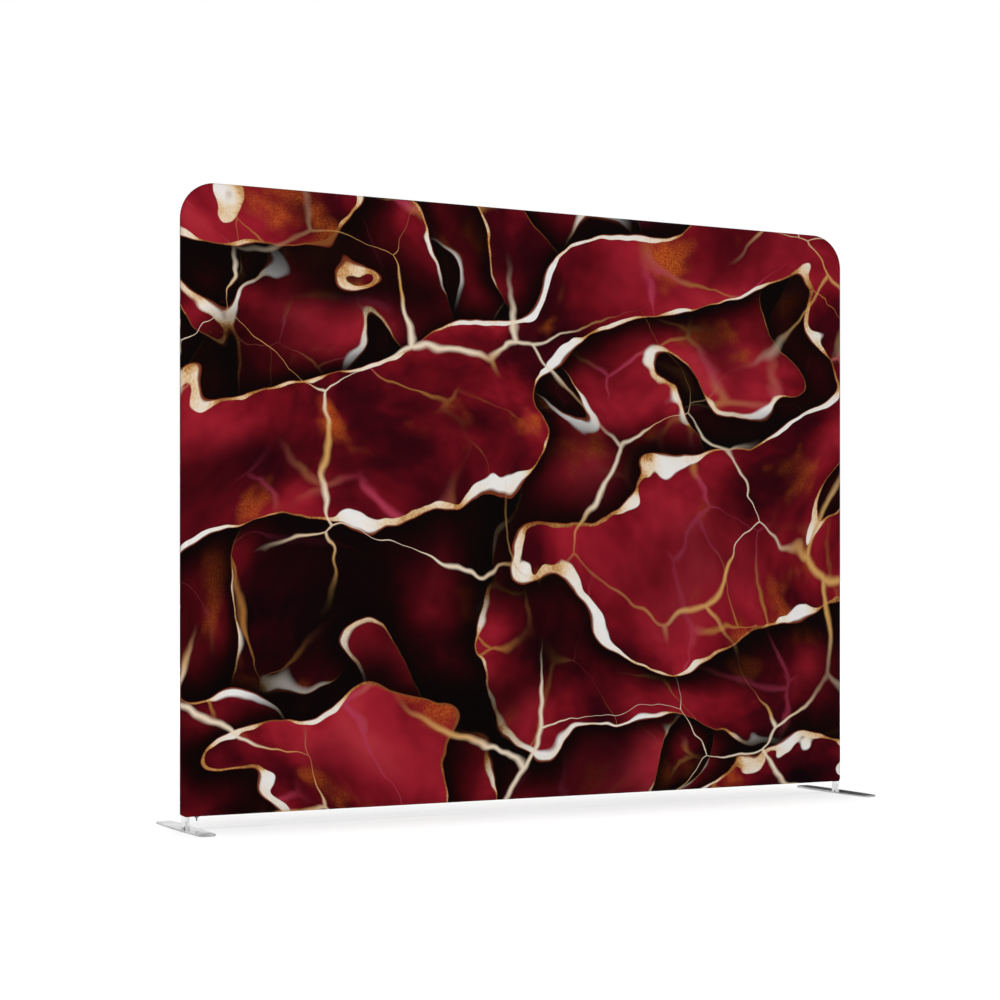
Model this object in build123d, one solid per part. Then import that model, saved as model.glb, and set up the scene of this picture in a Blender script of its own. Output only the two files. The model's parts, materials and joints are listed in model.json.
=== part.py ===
from build123d import *
from dataclasses import dataclass
from math import asin, atan2, cos, hypot, sin, sqrt
import os

# A free-standing room divider: a zipped fabric cover stretched over a take-down tube frame
# on two flat feet. X runs along its width, +Y to its back and +Z up. The floor is Z = 0, and
# the origin lies on it midway between the feet.

# Cover
COVER_WIDTH = 2500.0
COVER_HEIGHT = 2000.0
FABRIC_THICKNESS = 0.8
FABRIC_CLEARANCE = 0.3

# Frame tubes and the inner tubes that join them
TUBE_DIAMETER = 30.0
TUBE_WALL = 2.0
INNER_WALL = 2.0
SLIDING_FIT = 0.15
BEND_RADIUS = 100.0
ELBOW_LEG = 50.0
COPE_CLEARANCE = 0.3
UPRIGHT_JOINT_HEIGHT = 1000.0
PROP_JOINT_HEIGHT = 1000.0

# Lengths of the inner tubes, and where they are fixed and locked
CONNECTOR_HALF = 80.0
CONNECTOR_LOCK = 45.0
ELBOW_SPIGOT_SETBACK = 5.0
ELBOW_SPIGOT_FREE = 60.0
ELBOW_RIVET_INSET = 23.0
BOTTOM_SPIGOT_LENGTH = 95.0
LOCK_INSET = 25.0
SLEEVE_HELD = 80.0
SLEEVE_RIVET_INSET = 29.0

# Saddles at the ends of the centre prop
SADDLE_CLEARANCE = 0.1
SADDLE_CUP = 6.0
SADDLE_SEAT = 9.0
SADDLE_SPIGOT = 40.0

# Feet
FOOT_LENGTH = 420.0
FOOT_WIDTH = 64.0
FOOT_END_WIDTH = 52.0
FOOT_THICKNESS = 6.0
FOOT_CORNER_RADIUS = 18.0
FOOT_EDGE_CHAMFER = 0.8
STUB_HEIGHT = 66.0
FOOT_BUTTON_RISE = 20.0

# Countersunk screws that hold the stubs on the plates
SCREW_RADIUS = 4.0
SCREW_HEAD_RADIUS = 8.0
SCREW_LENGTH = 16.0
SCREW_RECESS = 0.3
SCREW_CLEARANCE = 0.5
THREAD_FIT = 0.05
THREAD_RUNOUT = 2.7
HEAD_FIT = 0.14
HEX_ACROSS_FLATS = 5.0
HEX_DEPTH = 3.0

# Snap buttons and their springs
BUTTON_RADIUS = 3.0
BUTTON_FIT = 0.15
BUTTON_PROUD = 2.2
BUTTON_TIP_ROUND = 1.8
BUTTON_FLANGE_RIM = 1.0
BUTTON_FLANGE = 1.0
FLANGE_CLEARANCE = 0.2
SPRING_THICKNESS = 0.6
SPRING_WIDTH = 7.0
SPRING_SEAT_GAP = 0.05
SPRING_REACH = 30.0
SPRING_PAST_FLANGE = 0.5
SPRING_END_CLEARANCE = 0.5

# Blind rivets
RIVET_RADIUS = 2.0
RIVET_FIT = 0.05
RIVET_HEAD_RIM = 1.8
RIVET_HEAD_HEIGHT = 1.3
RIVET_BULGE_RIM = 0.7
RIVET_BULGE = 1.2

# Lower hem of the cover and its zip
HEM_HEIGHT = 39.5
HEM_BELOW_TUBE = 9.5
HEM_PAST_SLIDER = 2.1
HEM_TAPER_RISE = 1.0
HEM_STRAIGHT = 8.0
LEG_OPENING_CLEARANCE = 0.3
ZIP_INSET = 42.0
COIL_ABOVE_HEM = 1.0
COIL_WIDTH = 3.0
COIL_HEIGHT = 2.6
COIL_ROUND = 1.0
COIL_END_GAP = 10.0
TAPE_THICKNESS = 0.6
TAPE_PAST_COIL = 0.1
TAPE_RISE = 11.0
TAPE_END_GAP = 1.0
STOP_LENGTH = 6.0
STOP_SIDE_WALL = 0.6
STOP_PLATE = 0.7

# Zip slider, about its centre on the coil's axis
SLIDER_PARK = 11.0
SLIDER_LENGTH = 16.0
SLIDER_MOUTH_WALL = 1.1
SLIDER_TAIL_WALL = 1.5
SLIDER_NOSE_TAPER = 2.2
SLIDER_SHOULDER = 3.0
SLIDER_ROUND = 1.2
SLIDER_PLATE = 1.2
CHANNEL_CLEARANCE = 0.3
CHANNEL_SIDE_CLEARANCE = 0.4
MOUTH_FLARE = 0.9
MOUTH_LENGTH = 5.0
NECK_START = 0.8
NECK_LENGTH = 4.0
NECK_HALF_WIDTH = 2.0
BRIDGE_LENGTH = 9.0
BRIDGE_WIDTH = 2.4
BRIDGE_DROP = 4.2
BRIDGE_BAR = 1.4
BRIDGE_POST = 1.4

# Pull tab
PULL_BAR_RADIUS = 0.8
PULL_BAR_CLEARANCE = 0.1
PULL_THICKNESS = 1.5
PULL_HALF_WIDTH = 4.0
PULL_SIDE_CLEARANCE = 0.5
PULL_SWING_CLEARANCE = 0.9
PULL_TAB = 5.6
PULL_ROUND = 1.5

# Radii and places that follow from the sizes above
TUBE_R = TUBE_DIAMETER / 2
TUBE_BORE_R = TUBE_R - TUBE_WALL
INNER_R = TUBE_BORE_R - SLIDING_FIT
INNER_BORE_R = INNER_R - INNER_WALL
STUB_R = INNER_BORE_R - SLIDING_FIT
STUB_BORE_R = STUB_R - INNER_WALL
LINING_R = TUBE_R + FABRIC_CLEARANCE
COVER_R = LINING_R + FABRIC_THICKNESS
POLE_X = COVER_WIDTH / 2 - COVER_R
TOP_Z = COVER_HEIGHT - COVER_R
BEND_Z = TOP_Z - BEND_RADIUS
BEND_X = POLE_X - BEND_RADIUS
ELBOW_LOW_Z = BEND_Z - ELBOW_LEG
ELBOW_END_X = BEND_X - ELBOW_LEG
UPRIGHT_END_Z = HEM_HEIGHT + HEM_BELOW_TUBE
BOTTOM_TUBE_HEIGHT = UPRIGHT_END_Z + TUBE_R
ELBOW_SPIGOT_HELD = ELBOW_LEG - ELBOW_SPIGOT_SETBACK
ELBOW_RIVET = ELBOW_SPIGOT_HELD - ELBOW_RIVET_INSET
ELBOW_LOCK = ELBOW_SPIGOT_FREE - LOCK_INSET
BOTTOM_SPIGOT_LOCK = BOTTOM_SPIGOT_LENGTH - LOCK_INSET
SLEEVE_TOP_Z = UPRIGHT_END_Z + SLEEVE_HELD
SLEEVE_RIVET_Z = SLEEVE_TOP_Z - SLEEVE_RIVET_INSET
SADDLE_RIM = TUBE_R - SADDLE_CUP
SADDLE_BODY = TUBE_R + SADDLE_SEAT
SADDLE_RIVET = SADDLE_SPIGOT / 2
PROP_LOW_Z = BOTTOM_TUBE_HEIGHT + SADDLE_BODY
PROP_HIGH_Z = TOP_Z - SADDLE_BODY
BUTTON_FLANGE_RADIUS = BUTTON_RADIUS + BUTTON_FLANGE_RIM
SPRING_TAIL = BUTTON_FLANGE_RADIUS + SPRING_PAST_FLANGE
RIVET_HEAD_RADIUS = RIVET_RADIUS + RIVET_HEAD_RIM
RIVET_BULGE_RADIUS = RIVET_RADIUS + RIVET_BULGE_RIM
FOOT_BUTTON_HEIGHT = FOOT_THICKNESS + FOOT_BUTTON_RISE
STUB_FLOOR_Z = FOOT_BUTTON_HEIGHT - SPRING_TAIL - SPRING_END_CLEARANCE
THREAD_TOP_Z = SCREW_RECESS + SCREW_LENGTH + THREAD_RUNOUT
ZIP_HALF = COVER_WIDTH / 2 - ZIP_INSET
COIL_Z = HEM_HEIGHT + COIL_ABOVE_HEM
TAPE_INNER_EDGE = COIL_WIDTH + TAPE_PAST_COIL
STOP_HALF_WIDTH = COIL_WIDTH + STOP_SIDE_WALL
STOP_HALF_HEIGHT = COIL_HEIGHT / 2 + STOP_PLATE
SLIDER_X = -(ZIP_HALF - SLIDER_PARK)
CHANNEL_HALF_WIDTH = COIL_WIDTH + CHANNEL_SIDE_CLEARANCE
MOUTH_HALF_WIDTH = CHANNEL_HALF_WIDTH + MOUTH_FLARE
SLIDER_TAIL_HALF_WIDTH = CHANNEL_HALF_WIDTH + SLIDER_TAIL_WALL
SLIDER_MOUTH_HALF_WIDTH = MOUTH_HALF_WIDTH + SLIDER_MOUTH_WALL
SLIDER_NOSE_HALF_WIDTH = SLIDER_MOUTH_HALF_WIDTH - SLIDER_NOSE_TAPER
HEM_HALF_GAP = SLIDER_MOUTH_HALF_WIDTH + HEM_PAST_SLIDER
SLIDER_HALF_HEIGHT = COIL_HEIGHT / 2 + CHANNEL_CLEARANCE + SLIDER_PLATE
PULL_BAR_DROP = BRIDGE_DROP - BRIDGE_BAR - PULL_BAR_RADIUS - PULL_BAR_CLEARANCE
PULL_BAR_Z = COIL_Z - SLIDER_HALF_HEIGHT - PULL_BAR_DROP
PULL_WINDOW_HALF_WIDTH = BRIDGE_WIDTH / 2 + PULL_SIDE_CLEARANCE
PULL_WINDOW_LENGTH = BRIDGE_LENGTH / 2 + PULL_SWING_CLEARANCE
PULL_LENGTH = PULL_WINDOW_LENGTH + PULL_TAB

SIDES = {"left": -1, "right": 1}
UP = (0, 0, 1)
DOWN = (0, 0, -1)
FRONT = (0, -1, 0)
BASE = (Align.CENTER, Align.CENTER, Align.MIN)


@dataclass(frozen=True)
class Telescope:
    """Radii where an inner tube slides in an outer one."""

    inner_bore: float
    inner_outside: float
    outer_outside: float


FRAME_JOINT = Telescope(INNER_BORE_R, INNER_R, TUBE_R)
FOOT_JOINT = Telescope(STUB_BORE_R, STUB_R, INNER_R)


def rod(start, end, radius):
    """Round bar from one point to another."""
    run = Vector(*end) - Vector(*start)
    return Plane(origin=start, z_dir=run) * Cylinder(radius, run.length, align=BASE)


def tube(start, end, outer, bore):
    """Straight round tube from one point to another."""
    return rod(start, end, outer) - rod(start, end, bore)


def drilled(piece, places, radius):
    """The piece with a round hole from each place's origin out along its Z."""
    for place in places:
        piece -= place * Cylinder(radius, 2 * TUBE_R, align=BASE)
    return piece


# Places of the snap buttons. A place's origin is on the tube's axis, its Z points out through
# the walls, and the spring's bend lies towards its -X.


def button_places():
    """Place of each snap button of the frame, by name."""
    places = {}
    for side, sign in SIDES.items():
        x = sign * POLE_X
        inward = (-sign, 0, 0)
        places["upright_button_" + side] = Plane((x, 0, UPRIGHT_JOINT_HEIGHT + CONNECTOR_LOCK), UP, inward)
        places["elbow_side_button_" + side] = Plane((x, 0, ELBOW_LOW_Z - ELBOW_LOCK), DOWN, inward)
        top_x = sign * (ELBOW_END_X - ELBOW_LOCK)
        places["elbow_top_button_" + side] = Plane((top_x, 0, TOP_Z), inward, DOWN)
        low_x = sign * (POLE_X - BOTTOM_SPIGOT_LOCK)
        places["bottom_end_button_" + side] = Plane((low_x, 0, BOTTOM_TUBE_HEIGHT), inward, UP)
    places["top_button"] = Plane((CONNECTOR_LOCK, 0, TOP_Z), (1, 0, 0), DOWN)
    places["bottom_button"] = Plane((CONNECTOR_LOCK, 0, BOTTOM_TUBE_HEIGHT), (1, 0, 0), UP)
    places["prop_button"] = Plane((0, 0, PROP_JOINT_HEIGHT + CONNECTOR_LOCK), UP, (1, 0, 0))
    return places


def foot_button_places():
    """Place of the button on each leg, which faces the front."""
    return {
        "foot_button_" + side: Plane((sign * POLE_X, 0, FOOT_BUTTON_HEIGHT), DOWN, FRONT)
        for side, sign in SIDES.items()
    }


def rivet_places():
    """Place of each blind rivet, by the inner tube that it holds."""
    places = {}
    for side, sign in SIDES.items():
        x = sign * POLE_X
        inward = (-sign, 0, 0)
        places["sleeve_" + side] = Plane((x, 0, SLEEVE_RIVET_Z), UP, inward)
        places["upright_" + side] = Plane((x, 0, UPRIGHT_JOINT_HEIGHT - CONNECTOR_LOCK), UP, inward)
        places["elbow_side_" + side] = Plane((x, 0, ELBOW_LOW_Z + ELBOW_RIVET), UP, inward)
        top_x = sign * (ELBOW_END_X + ELBOW_RIVET)
        places["elbow_top_" + side] = Plane((top_x, 0, TOP_Z), inward, DOWN)
    places["top"] = Plane((-CONNECTOR_LOCK, 0, TOP_Z), (1, 0, 0), DOWN)
    places["bottom"] = Plane((-CONNECTOR_LOCK, 0, BOTTOM_TUBE_HEIGHT), (1, 0, 0), UP)
    places["prop"] = Plane((0, 0, PROP_JOINT_HEIGHT - CONNECTOR_LOCK), UP, (1, 0, 0))
    places["saddle_bottom"] = Plane((0, 0, PROP_LOW_Z + SADDLE_RIVET), UP, (1, 0, 0))
    places["saddle_top"] = Plane((0, 0, PROP_HIGH_Z - SADDLE_RIVET), UP, (1, 0, 0))
    return places


BUTTONS = button_places()
FOOT_BUTTONS = foot_button_places()
RIVETS = rivet_places()


def with_holes(piece, buttons=(), rivets=()):
    """The piece drilled for the named frame buttons and rivets."""
    piece = drilled(piece, [BUTTONS[name] for name in buttons], BUTTON_RADIUS + BUTTON_FIT)
    return drilled(piece, [RIVETS[name] for name in rivets], RIVET_RADIUS + RIVET_FIT)


# Snap buttons, springs and rivets, each drawn at a place's own axes


def flange_top(joint):
    """Height of a button's flange where its rim just clears the inner tube's bore."""
    return sqrt((joint.inner_bore - FLANGE_CLEARANCE) ** 2 - BUTTON_FLANGE_RADIUS**2)


def snap_button(joint):
    """Pin with a rounded tip and a flange that stays behind the inner tube's wall."""
    top = flange_top(joint)
    tip = joint.outer_outside + BUTTON_PROUD
    pin = Pos(0, 0, top) * Cylinder(BUTTON_RADIUS, tip - top, align=BASE)
    pin = fillet(pin.edges().sort_by(Axis.Z)[-1], BUTTON_TIP_ROUND)
    flange = Pos(0, 0, top - BUTTON_FLANGE) * Cylinder(BUTTON_FLANGE_RADIUS, BUTTON_FLANGE, align=BASE)
    return pin + flange


def snap_spring(joint):
    """Strip bent into a hairpin between the button's flange and the bore's far wall."""
    high = flange_top(joint) - BUTTON_FLANGE - SPRING_SEAT_GAP
    low = -sqrt((joint.inner_bore - FLANGE_CLEARANCE) ** 2 - (SPRING_WIDTH / 2) ** 2)
    radius = (high - low) / 2
    middle = (high + low) / 2
    bend = Pos(-SPRING_REACH, middle) * Circle(radius)
    legs = Pos((SPRING_TAIL - SPRING_REACH) / 2, middle) * Rectangle(SPRING_REACH + SPRING_TAIL, 2 * radius)
    inner_radius = radius - SPRING_THICKNESS
    inner_bend = Pos(-SPRING_REACH, middle) * Circle(inner_radius)
    inner_length = SPRING_REACH + 2 * SPRING_TAIL
    gap = Pos(inner_length / 2 - SPRING_REACH, middle) * Rectangle(inner_length, 2 * inner_radius)
    outline = bend + legs - inner_bend - gap
    return extrude(Plane.XZ * outline, SPRING_WIDTH / 2, both=True)


def blind_rivet(joint):
    """Shank through both walls, domed head seated on the outer tube, bulge inside."""
    bore = joint.inner_bore
    dome_base = joint.outer_outside - RIVET_HEAD_HEIGHT
    shank = Pos(0, 0, bore - RIVET_BULGE) * Cylinder(
        RIVET_RADIUS, joint.outer_outside - bore + RIVET_BULGE, align=BASE
    )
    bulge_top = sqrt(bore**2 - RIVET_BULGE_RADIUS**2)
    bulge = Pos(0, 0, bore - RIVET_BULGE) * Cylinder(
        RIVET_BULGE_RADIUS, bulge_top - bore + RIVET_BULGE, align=BASE
    )
    head = Pos(0, 0, dome_base) * Cylinder(RIVET_HEAD_RADIUS, 2 * RIVET_HEAD_HEIGHT, align=BASE)
    head = fillet(head.edges().sort_by(Axis.Z)[-1], RIVET_HEAD_HEIGHT)
    head -= Rot(0, 90, 0) * Cylinder(joint.outer_outside, 2 * TUBE_R)
    return shank + bulge + head


# Feet


def foot_plate(sign):
    """Long flat plate with gently bowed sides, round corners and a countersunk hole."""
    half = FOOT_LENGTH / 2
    end = FOOT_END_WIDTH / 2
    side = ThreePointArc((end, -half), (FOOT_WIDTH / 2, 0), (end, half))
    back = Line((end, half), (-end, half))
    other = ThreePointArc((-end, half), (-FOOT_WIDTH / 2, 0), (-end, -half))
    front = Line((-end, -half), (end, -half))
    outline = make_face(side + back + other + front)
    outline = fillet(outline.vertices(), FOOT_CORNER_RADIUS)
    plate = extrude(outline, FOOT_THICKNESS)
    plate = chamfer(plate.faces().sort_by(Axis.Z)[-1].edges(), FOOT_EDGE_CHAMFER)
    mouth = SCREW_HEAD_RADIUS + SCREW_RECESS + HEAD_FIT
    plate -= Cone(mouth, SCREW_RADIUS, mouth - SCREW_RADIUS, align=BASE)
    plate -= Cylinder(SCREW_RADIUS + SCREW_CLEARANCE, FOOT_THICKNESS, align=BASE)
    return Pos(sign * POLE_X, 0, 0) * plate


def foot_stub(side):
    """Upright stub on the plate: threaded below, bored for the spring and button above."""
    x = SIDES[side] * POLE_X
    foot = (x, 0, FOOT_THICKNESS)
    top = (x, 0, FOOT_THICKNESS + STUB_HEIGHT)
    stub = rod(foot, top, STUB_R)
    stub -= rod((x, 0, STUB_FLOOR_Z), top, STUB_BORE_R)
    stub -= rod(foot, (x, 0, THREAD_TOP_Z), SCREW_RADIUS + THREAD_FIT)
    return drilled(stub, [FOOT_BUTTONS["foot_button_" + side]], BUTTON_RADIUS + BUTTON_FIT)


def foot_screw(sign):
    """Countersunk screw with a hexagon socket, from below the plate."""
    head_height = SCREW_HEAD_RADIUS - SCREW_RADIUS
    head = Cone(SCREW_HEAD_RADIUS, SCREW_RADIUS, head_height, align=BASE)
    shank = Cylinder(SCREW_RADIUS, SCREW_LENGTH, align=BASE)
    socket = extrude(RegularPolygon(HEX_ACROSS_FLATS / 2, 6, major_radius=False), HEX_DEPTH)
    return Pos(sign * POLE_X, 0, SCREW_RECESS) * (head + shank - socket)


def leg_sleeve(side):
    """Bright inner tube that stands on the plate, over its stub, and carries the upright."""
    x = SIDES[side] * POLE_X
    sleeve = tube((x, 0, FOOT_THICKNESS), (x, 0, SLEEVE_TOP_Z), INNER_R, INNER_BORE_R)
    sleeve = drilled(sleeve, [FOOT_BUTTONS["foot_button_" + side]], BUTTON_RADIUS + BUTTON_FIT)
    return with_holes(sleeve, rivets=["sleeve_" + side])


# Frame


def upright_lower(side):
    """Lower half of a side tube, from just above the leg to the joint."""
    x = SIDES[side] * POLE_X
    piece = tube((x, 0, UPRIGHT_END_Z), (x, 0, UPRIGHT_JOINT_HEIGHT), TUBE_R, TUBE_BORE_R)
    return with_holes(piece, rivets=["sleeve_" + side, "upright_" + side])


def upright_upper(side):
    """Upper half of a side tube, from the joint to the elbow."""
    x = SIDES[side] * POLE_X
    piece = tube((x, 0, UPRIGHT_JOINT_HEIGHT), (x, 0, ELBOW_LOW_Z), TUBE_R, TUBE_BORE_R)
    return with_holes(piece, buttons=["upright_button_" + side, "elbow_side_button_" + side])


def upright_connector(side):
    """Inner tube across the joint of a side tube."""
    x = SIDES[side] * POLE_X
    low = (x, 0, UPRIGHT_JOINT_HEIGHT - CONNECTOR_HALF)
    high = (x, 0, UPRIGHT_JOINT_HEIGHT + CONNECTOR_HALF)
    piece = tube(low, high, INNER_R, INNER_BORE_R)
    return with_holes(piece, ["upright_button_" + side], ["upright_" + side])


def elbow(side):
    """Quarter bend with a short straight leg at each end."""
    sign = SIDES[side]
    x = sign * POLE_X
    ring = Circle(TUBE_R) - Circle(TUBE_BORE_R)
    centre_line = Axis((sign * BEND_X, 0, BEND_Z), (0, -sign, 0))
    bend = revolve(Pos(x, 0, BEND_Z) * ring, centre_line, 90)
    down = tube((x, 0, ELBOW_LOW_Z), (x, 0, BEND_Z), TUBE_R, TUBE_BORE_R)
    across = tube((sign * ELBOW_END_X, 0, TOP_Z), (sign * BEND_X, 0, TOP_Z), TUBE_R, TUBE_BORE_R)
    return with_holes(bend + down + across, rivets=["elbow_side_" + side, "elbow_top_" + side])


def elbow_spigots(side):
    """Two inner tubes riveted in the elbow's legs, one for each neighbour."""
    sign = SIDES[side]
    x = sign * POLE_X
    low = (x, 0, ELBOW_LOW_Z - ELBOW_SPIGOT_FREE)
    high = (x, 0, ELBOW_LOW_Z + ELBOW_SPIGOT_HELD)
    down = with_holes(
        tube(low, high, INNER_R, INNER_BORE_R), ["elbow_side_button_" + side], ["elbow_side_" + side]
    )
    near = (sign * (ELBOW_END_X - ELBOW_SPIGOT_FREE), 0, TOP_Z)
    far = (sign * (ELBOW_END_X + ELBOW_SPIGOT_HELD), 0, TOP_Z)
    across = with_holes(
        tube(near, far, INNER_R, INNER_BORE_R), ["elbow_top_button_" + side], ["elbow_top_" + side]
    )
    return Compound([down, across])


def top_tube(side):
    """Half of the top tube, from the middle joint to the elbow."""
    end = (SIDES[side] * ELBOW_END_X, 0, TOP_Z)
    piece = tube((0, 0, TOP_Z), end, TUBE_R, TUBE_BORE_R)
    own = {"left": ([], ["top"]), "right": (["top_button"], [])}
    buttons, rivets = own[side]
    return with_holes(piece, buttons + ["elbow_top_button_" + side], rivets)


def bottom_tube(side):
    """Half of the bottom tube, its outer end coped round the upright."""
    x = SIDES[side] * POLE_X
    z = BOTTOM_TUBE_HEIGHT
    piece = tube((0, 0, z), (x, 0, z), TUBE_R, TUBE_BORE_R)
    piece -= rod((x, 0, z - 2 * TUBE_R), (x, 0, z + 2 * TUBE_R), TUBE_R + COPE_CLEARANCE)
    own = {"left": ([], ["bottom"]), "right": (["bottom_button"], [])}
    buttons, rivets = own[side]
    return with_holes(piece, buttons + ["bottom_end_button_" + side], rivets)


def middle_connector(z, name):
    """Inner tube across the middle joint of the top or the bottom tube."""
    piece = tube((-CONNECTOR_HALF, 0, z), (CONNECTOR_HALF, 0, z), INNER_R, INNER_BORE_R)
    return with_holes(piece, [name + "_button"], [name])


def bottom_spigot(side):
    """Inner tube welded square to the upright, which the bottom tube slides over."""
    sign = SIDES[side]
    z = BOTTOM_TUBE_HEIGHT
    x = sign * POLE_X
    piece = tube((x, 0, z), (sign * (POLE_X - BOTTOM_SPIGOT_LENGTH), 0, z), INNER_R, INNER_BORE_R)
    piece -= rod((x, 0, z - 2 * TUBE_R), (x, 0, z + 2 * TUBE_R), TUBE_R)
    return with_holes(piece, ["bottom_end_button_" + side])


def prop_lower():
    """Lower half of the centre prop."""
    piece = tube((0, 0, PROP_LOW_Z), (0, 0, PROP_JOINT_HEIGHT), TUBE_R, TUBE_BORE_R)
    return with_holes(piece, rivets=["saddle_bottom", "prop"])


def prop_upper():
    """Upper half of the centre prop."""
    piece = tube((0, 0, PROP_JOINT_HEIGHT), (0, 0, PROP_HIGH_Z), TUBE_R, TUBE_BORE_R)
    return with_holes(piece, ["prop_button"], ["saddle_top"])


def prop_connector():
    """Inner tube across the prop's joint."""
    low = (0, 0, PROP_JOINT_HEIGHT - CONNECTOR_HALF)
    high = (0, 0, PROP_JOINT_HEIGHT + CONNECTOR_HALF)
    return with_holes(tube(low, high, INNER_R, INNER_BORE_R), ["prop_button"], ["prop"])


def prop_saddle(tube_z, toward, name):
    """Cap whose cupped end sits on a cross tube and whose spigot fills the prop's end."""
    rim = (0, 0, tube_z + toward * SADDLE_RIM)
    seat = (0, 0, tube_z + toward * SADDLE_BODY)
    tip = (0, 0, tube_z + toward * (SADDLE_BODY + SADDLE_SPIGOT))
    cap = rod(rim, seat, TUBE_R) + tube(seat, tip, INNER_R, INNER_BORE_R)
    cap -= rod((-2 * TUBE_R, 0, tube_z), (2 * TUBE_R, 0, tube_z), TUBE_R + SADDLE_CLEARANCE)
    return with_holes(cap, rivets=[name])


# Cover. Its front half is drawn, and the back half is its mirror image.


def hem_angle(radius):
    """Angle round the bottom tube at which the fabric leaves it for the zip."""
    drop = BOTTOM_TUBE_HEIGHT - HEM_HEIGHT
    return asin(radius / hypot(HEM_HALF_GAP, drop)) - atan2(HEM_HALF_GAP, drop)


def zip_section():
    """Section of the fabric from the front face round the bottom tube to the zip.

    Drawn with x towards the front and y up, from the bottom tube's height down.
    """
    turn = hem_angle(COVER_R)
    z = BOTTOM_TUBE_HEIGHT

    def at(radius, angle):
        return (radius * cos(angle), z - radius * sin(angle))

    run = sqrt(HEM_HALF_GAP**2 + (z - HEM_HEIGHT) ** 2 - COVER_R**2)

    def hem(radius):
        x, y = at(radius, turn)
        return (x - run * sin(turn), y - run * cos(turn))

    outer = ThreePointArc((COVER_R, z), at(COVER_R, turn / 2), at(COVER_R, turn))
    slope = Line(at(COVER_R, turn), hem(COVER_R))
    edge = Line(hem(COVER_R), hem(LINING_R))
    lining = Line(hem(LINING_R), at(LINING_R, turn))
    inner = ThreePointArc(at(LINING_R, turn), at(LINING_R, turn / 2), (LINING_R, z))
    return make_face(outer + slope + edge + lining + inner + Line((LINING_R, z), (COVER_R, z)))


def leg_section():
    """Section of the hem where it is drawn in to the leg."""
    z = BOTTOM_TUBE_HEIGHT
    taper = UPRIGHT_END_Z + HEM_TAPER_RISE
    inner = INNER_R + LEG_OPENING_CLEARANCE
    outer = inner + FABRIC_THICKNESS
    points = [(COVER_R, z), (COVER_R, taper), (outer, HEM_HEIGHT), (inner, HEM_HEIGHT)]
    return make_face(Polyline(points + [(LINING_R, taper), (LINING_R, z)], close=True))


def section_plane(x):
    """Plane across the cover at x, with its x axis to the front and its y axis up."""
    return Plane((x, 0, 0), x_dir=FRONT, z_dir=(-1, 0, 0))


def quarter_ring():
    """Quarter of the ring that the fabric makes round a tube."""
    return (Circle(COVER_R) - Circle(LINING_R)) & Rectangle(COVER_R, COVER_R, align=Align.MIN)


def side_wrap(sign):
    """Fabric round the front quarter of a side tube."""
    place = Plane((sign * POLE_X, 0, BEND_Z), x_dir=(sign, 0, 0), z_dir=(0, 0, -sign))
    return extrude(place * quarter_ring(), BEND_Z - BOTTOM_TUBE_HEIGHT, dir=DOWN)


def corner_wrap(sign):
    """Fabric round the front quarter of an elbow."""
    place = Plane((sign * POLE_X, 0, BEND_Z), x_dir=(sign, 0, 0), z_dir=(0, 0, -sign))
    centre_line = Axis((sign * BEND_X, 0, BEND_Z), (0, -sign, 0))
    return revolve(place * quarter_ring(), centre_line, 90)


def hem_wrap(sign):
    """Hem round the outer side of a leg, then past it and in to the zip's end."""
    x = sign * POLE_X
    pole = Axis((x, 0, 0), (0, 0, sign))
    past_leg = x - sign * HEM_STRAIGHT
    around = revolve(section_plane(x) * leg_section(), pole, 90)
    beside = extrude(section_plane(x) * leg_section(), HEM_STRAIGHT, dir=(-sign, 0, 0))
    inward = loft(
        [section_plane(past_leg) * leg_section(), section_plane(sign * ZIP_HALF) * zip_section()],
        ruled=True,
    )
    return [around, beside, inward]


def cover_panel():
    """Front panel of the cover, from the side seams round to the front."""
    width = 2 * POLE_X
    height = TOP_Z - BOTTOM_TUBE_HEIGHT
    middle = (TOP_Z + BOTTOM_TUBE_HEIGHT) / 2
    outline = Rectangle(width, height)
    outline = fillet(outline.vertices().group_by(Axis.Y)[-1], BEND_RADIUS)
    flat = extrude(Plane((0, -LINING_R, middle), (1, 0, 0), FRONT) * outline, FABRIC_THICKNESS)
    top_place = Plane((-BEND_X, 0, TOP_Z), x_dir=FRONT, z_dir=(-1, 0, 0))
    top = extrude(top_place * quarter_ring(), 2 * BEND_X, dir=(1, 0, 0))
    bottom = extrude(section_plane(-ZIP_HALF) * zip_section(), 2 * ZIP_HALF, dir=(1, 0, 0))
    pieces = [top, bottom]
    for sign in SIDES.values():
        pieces += [side_wrap(sign), corner_wrap(sign)] + hem_wrap(sign)
    for piece in pieces:
        flat += piece
    return flat


# Zip. Its front half is drawn, and the back half is its mirror image.


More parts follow.
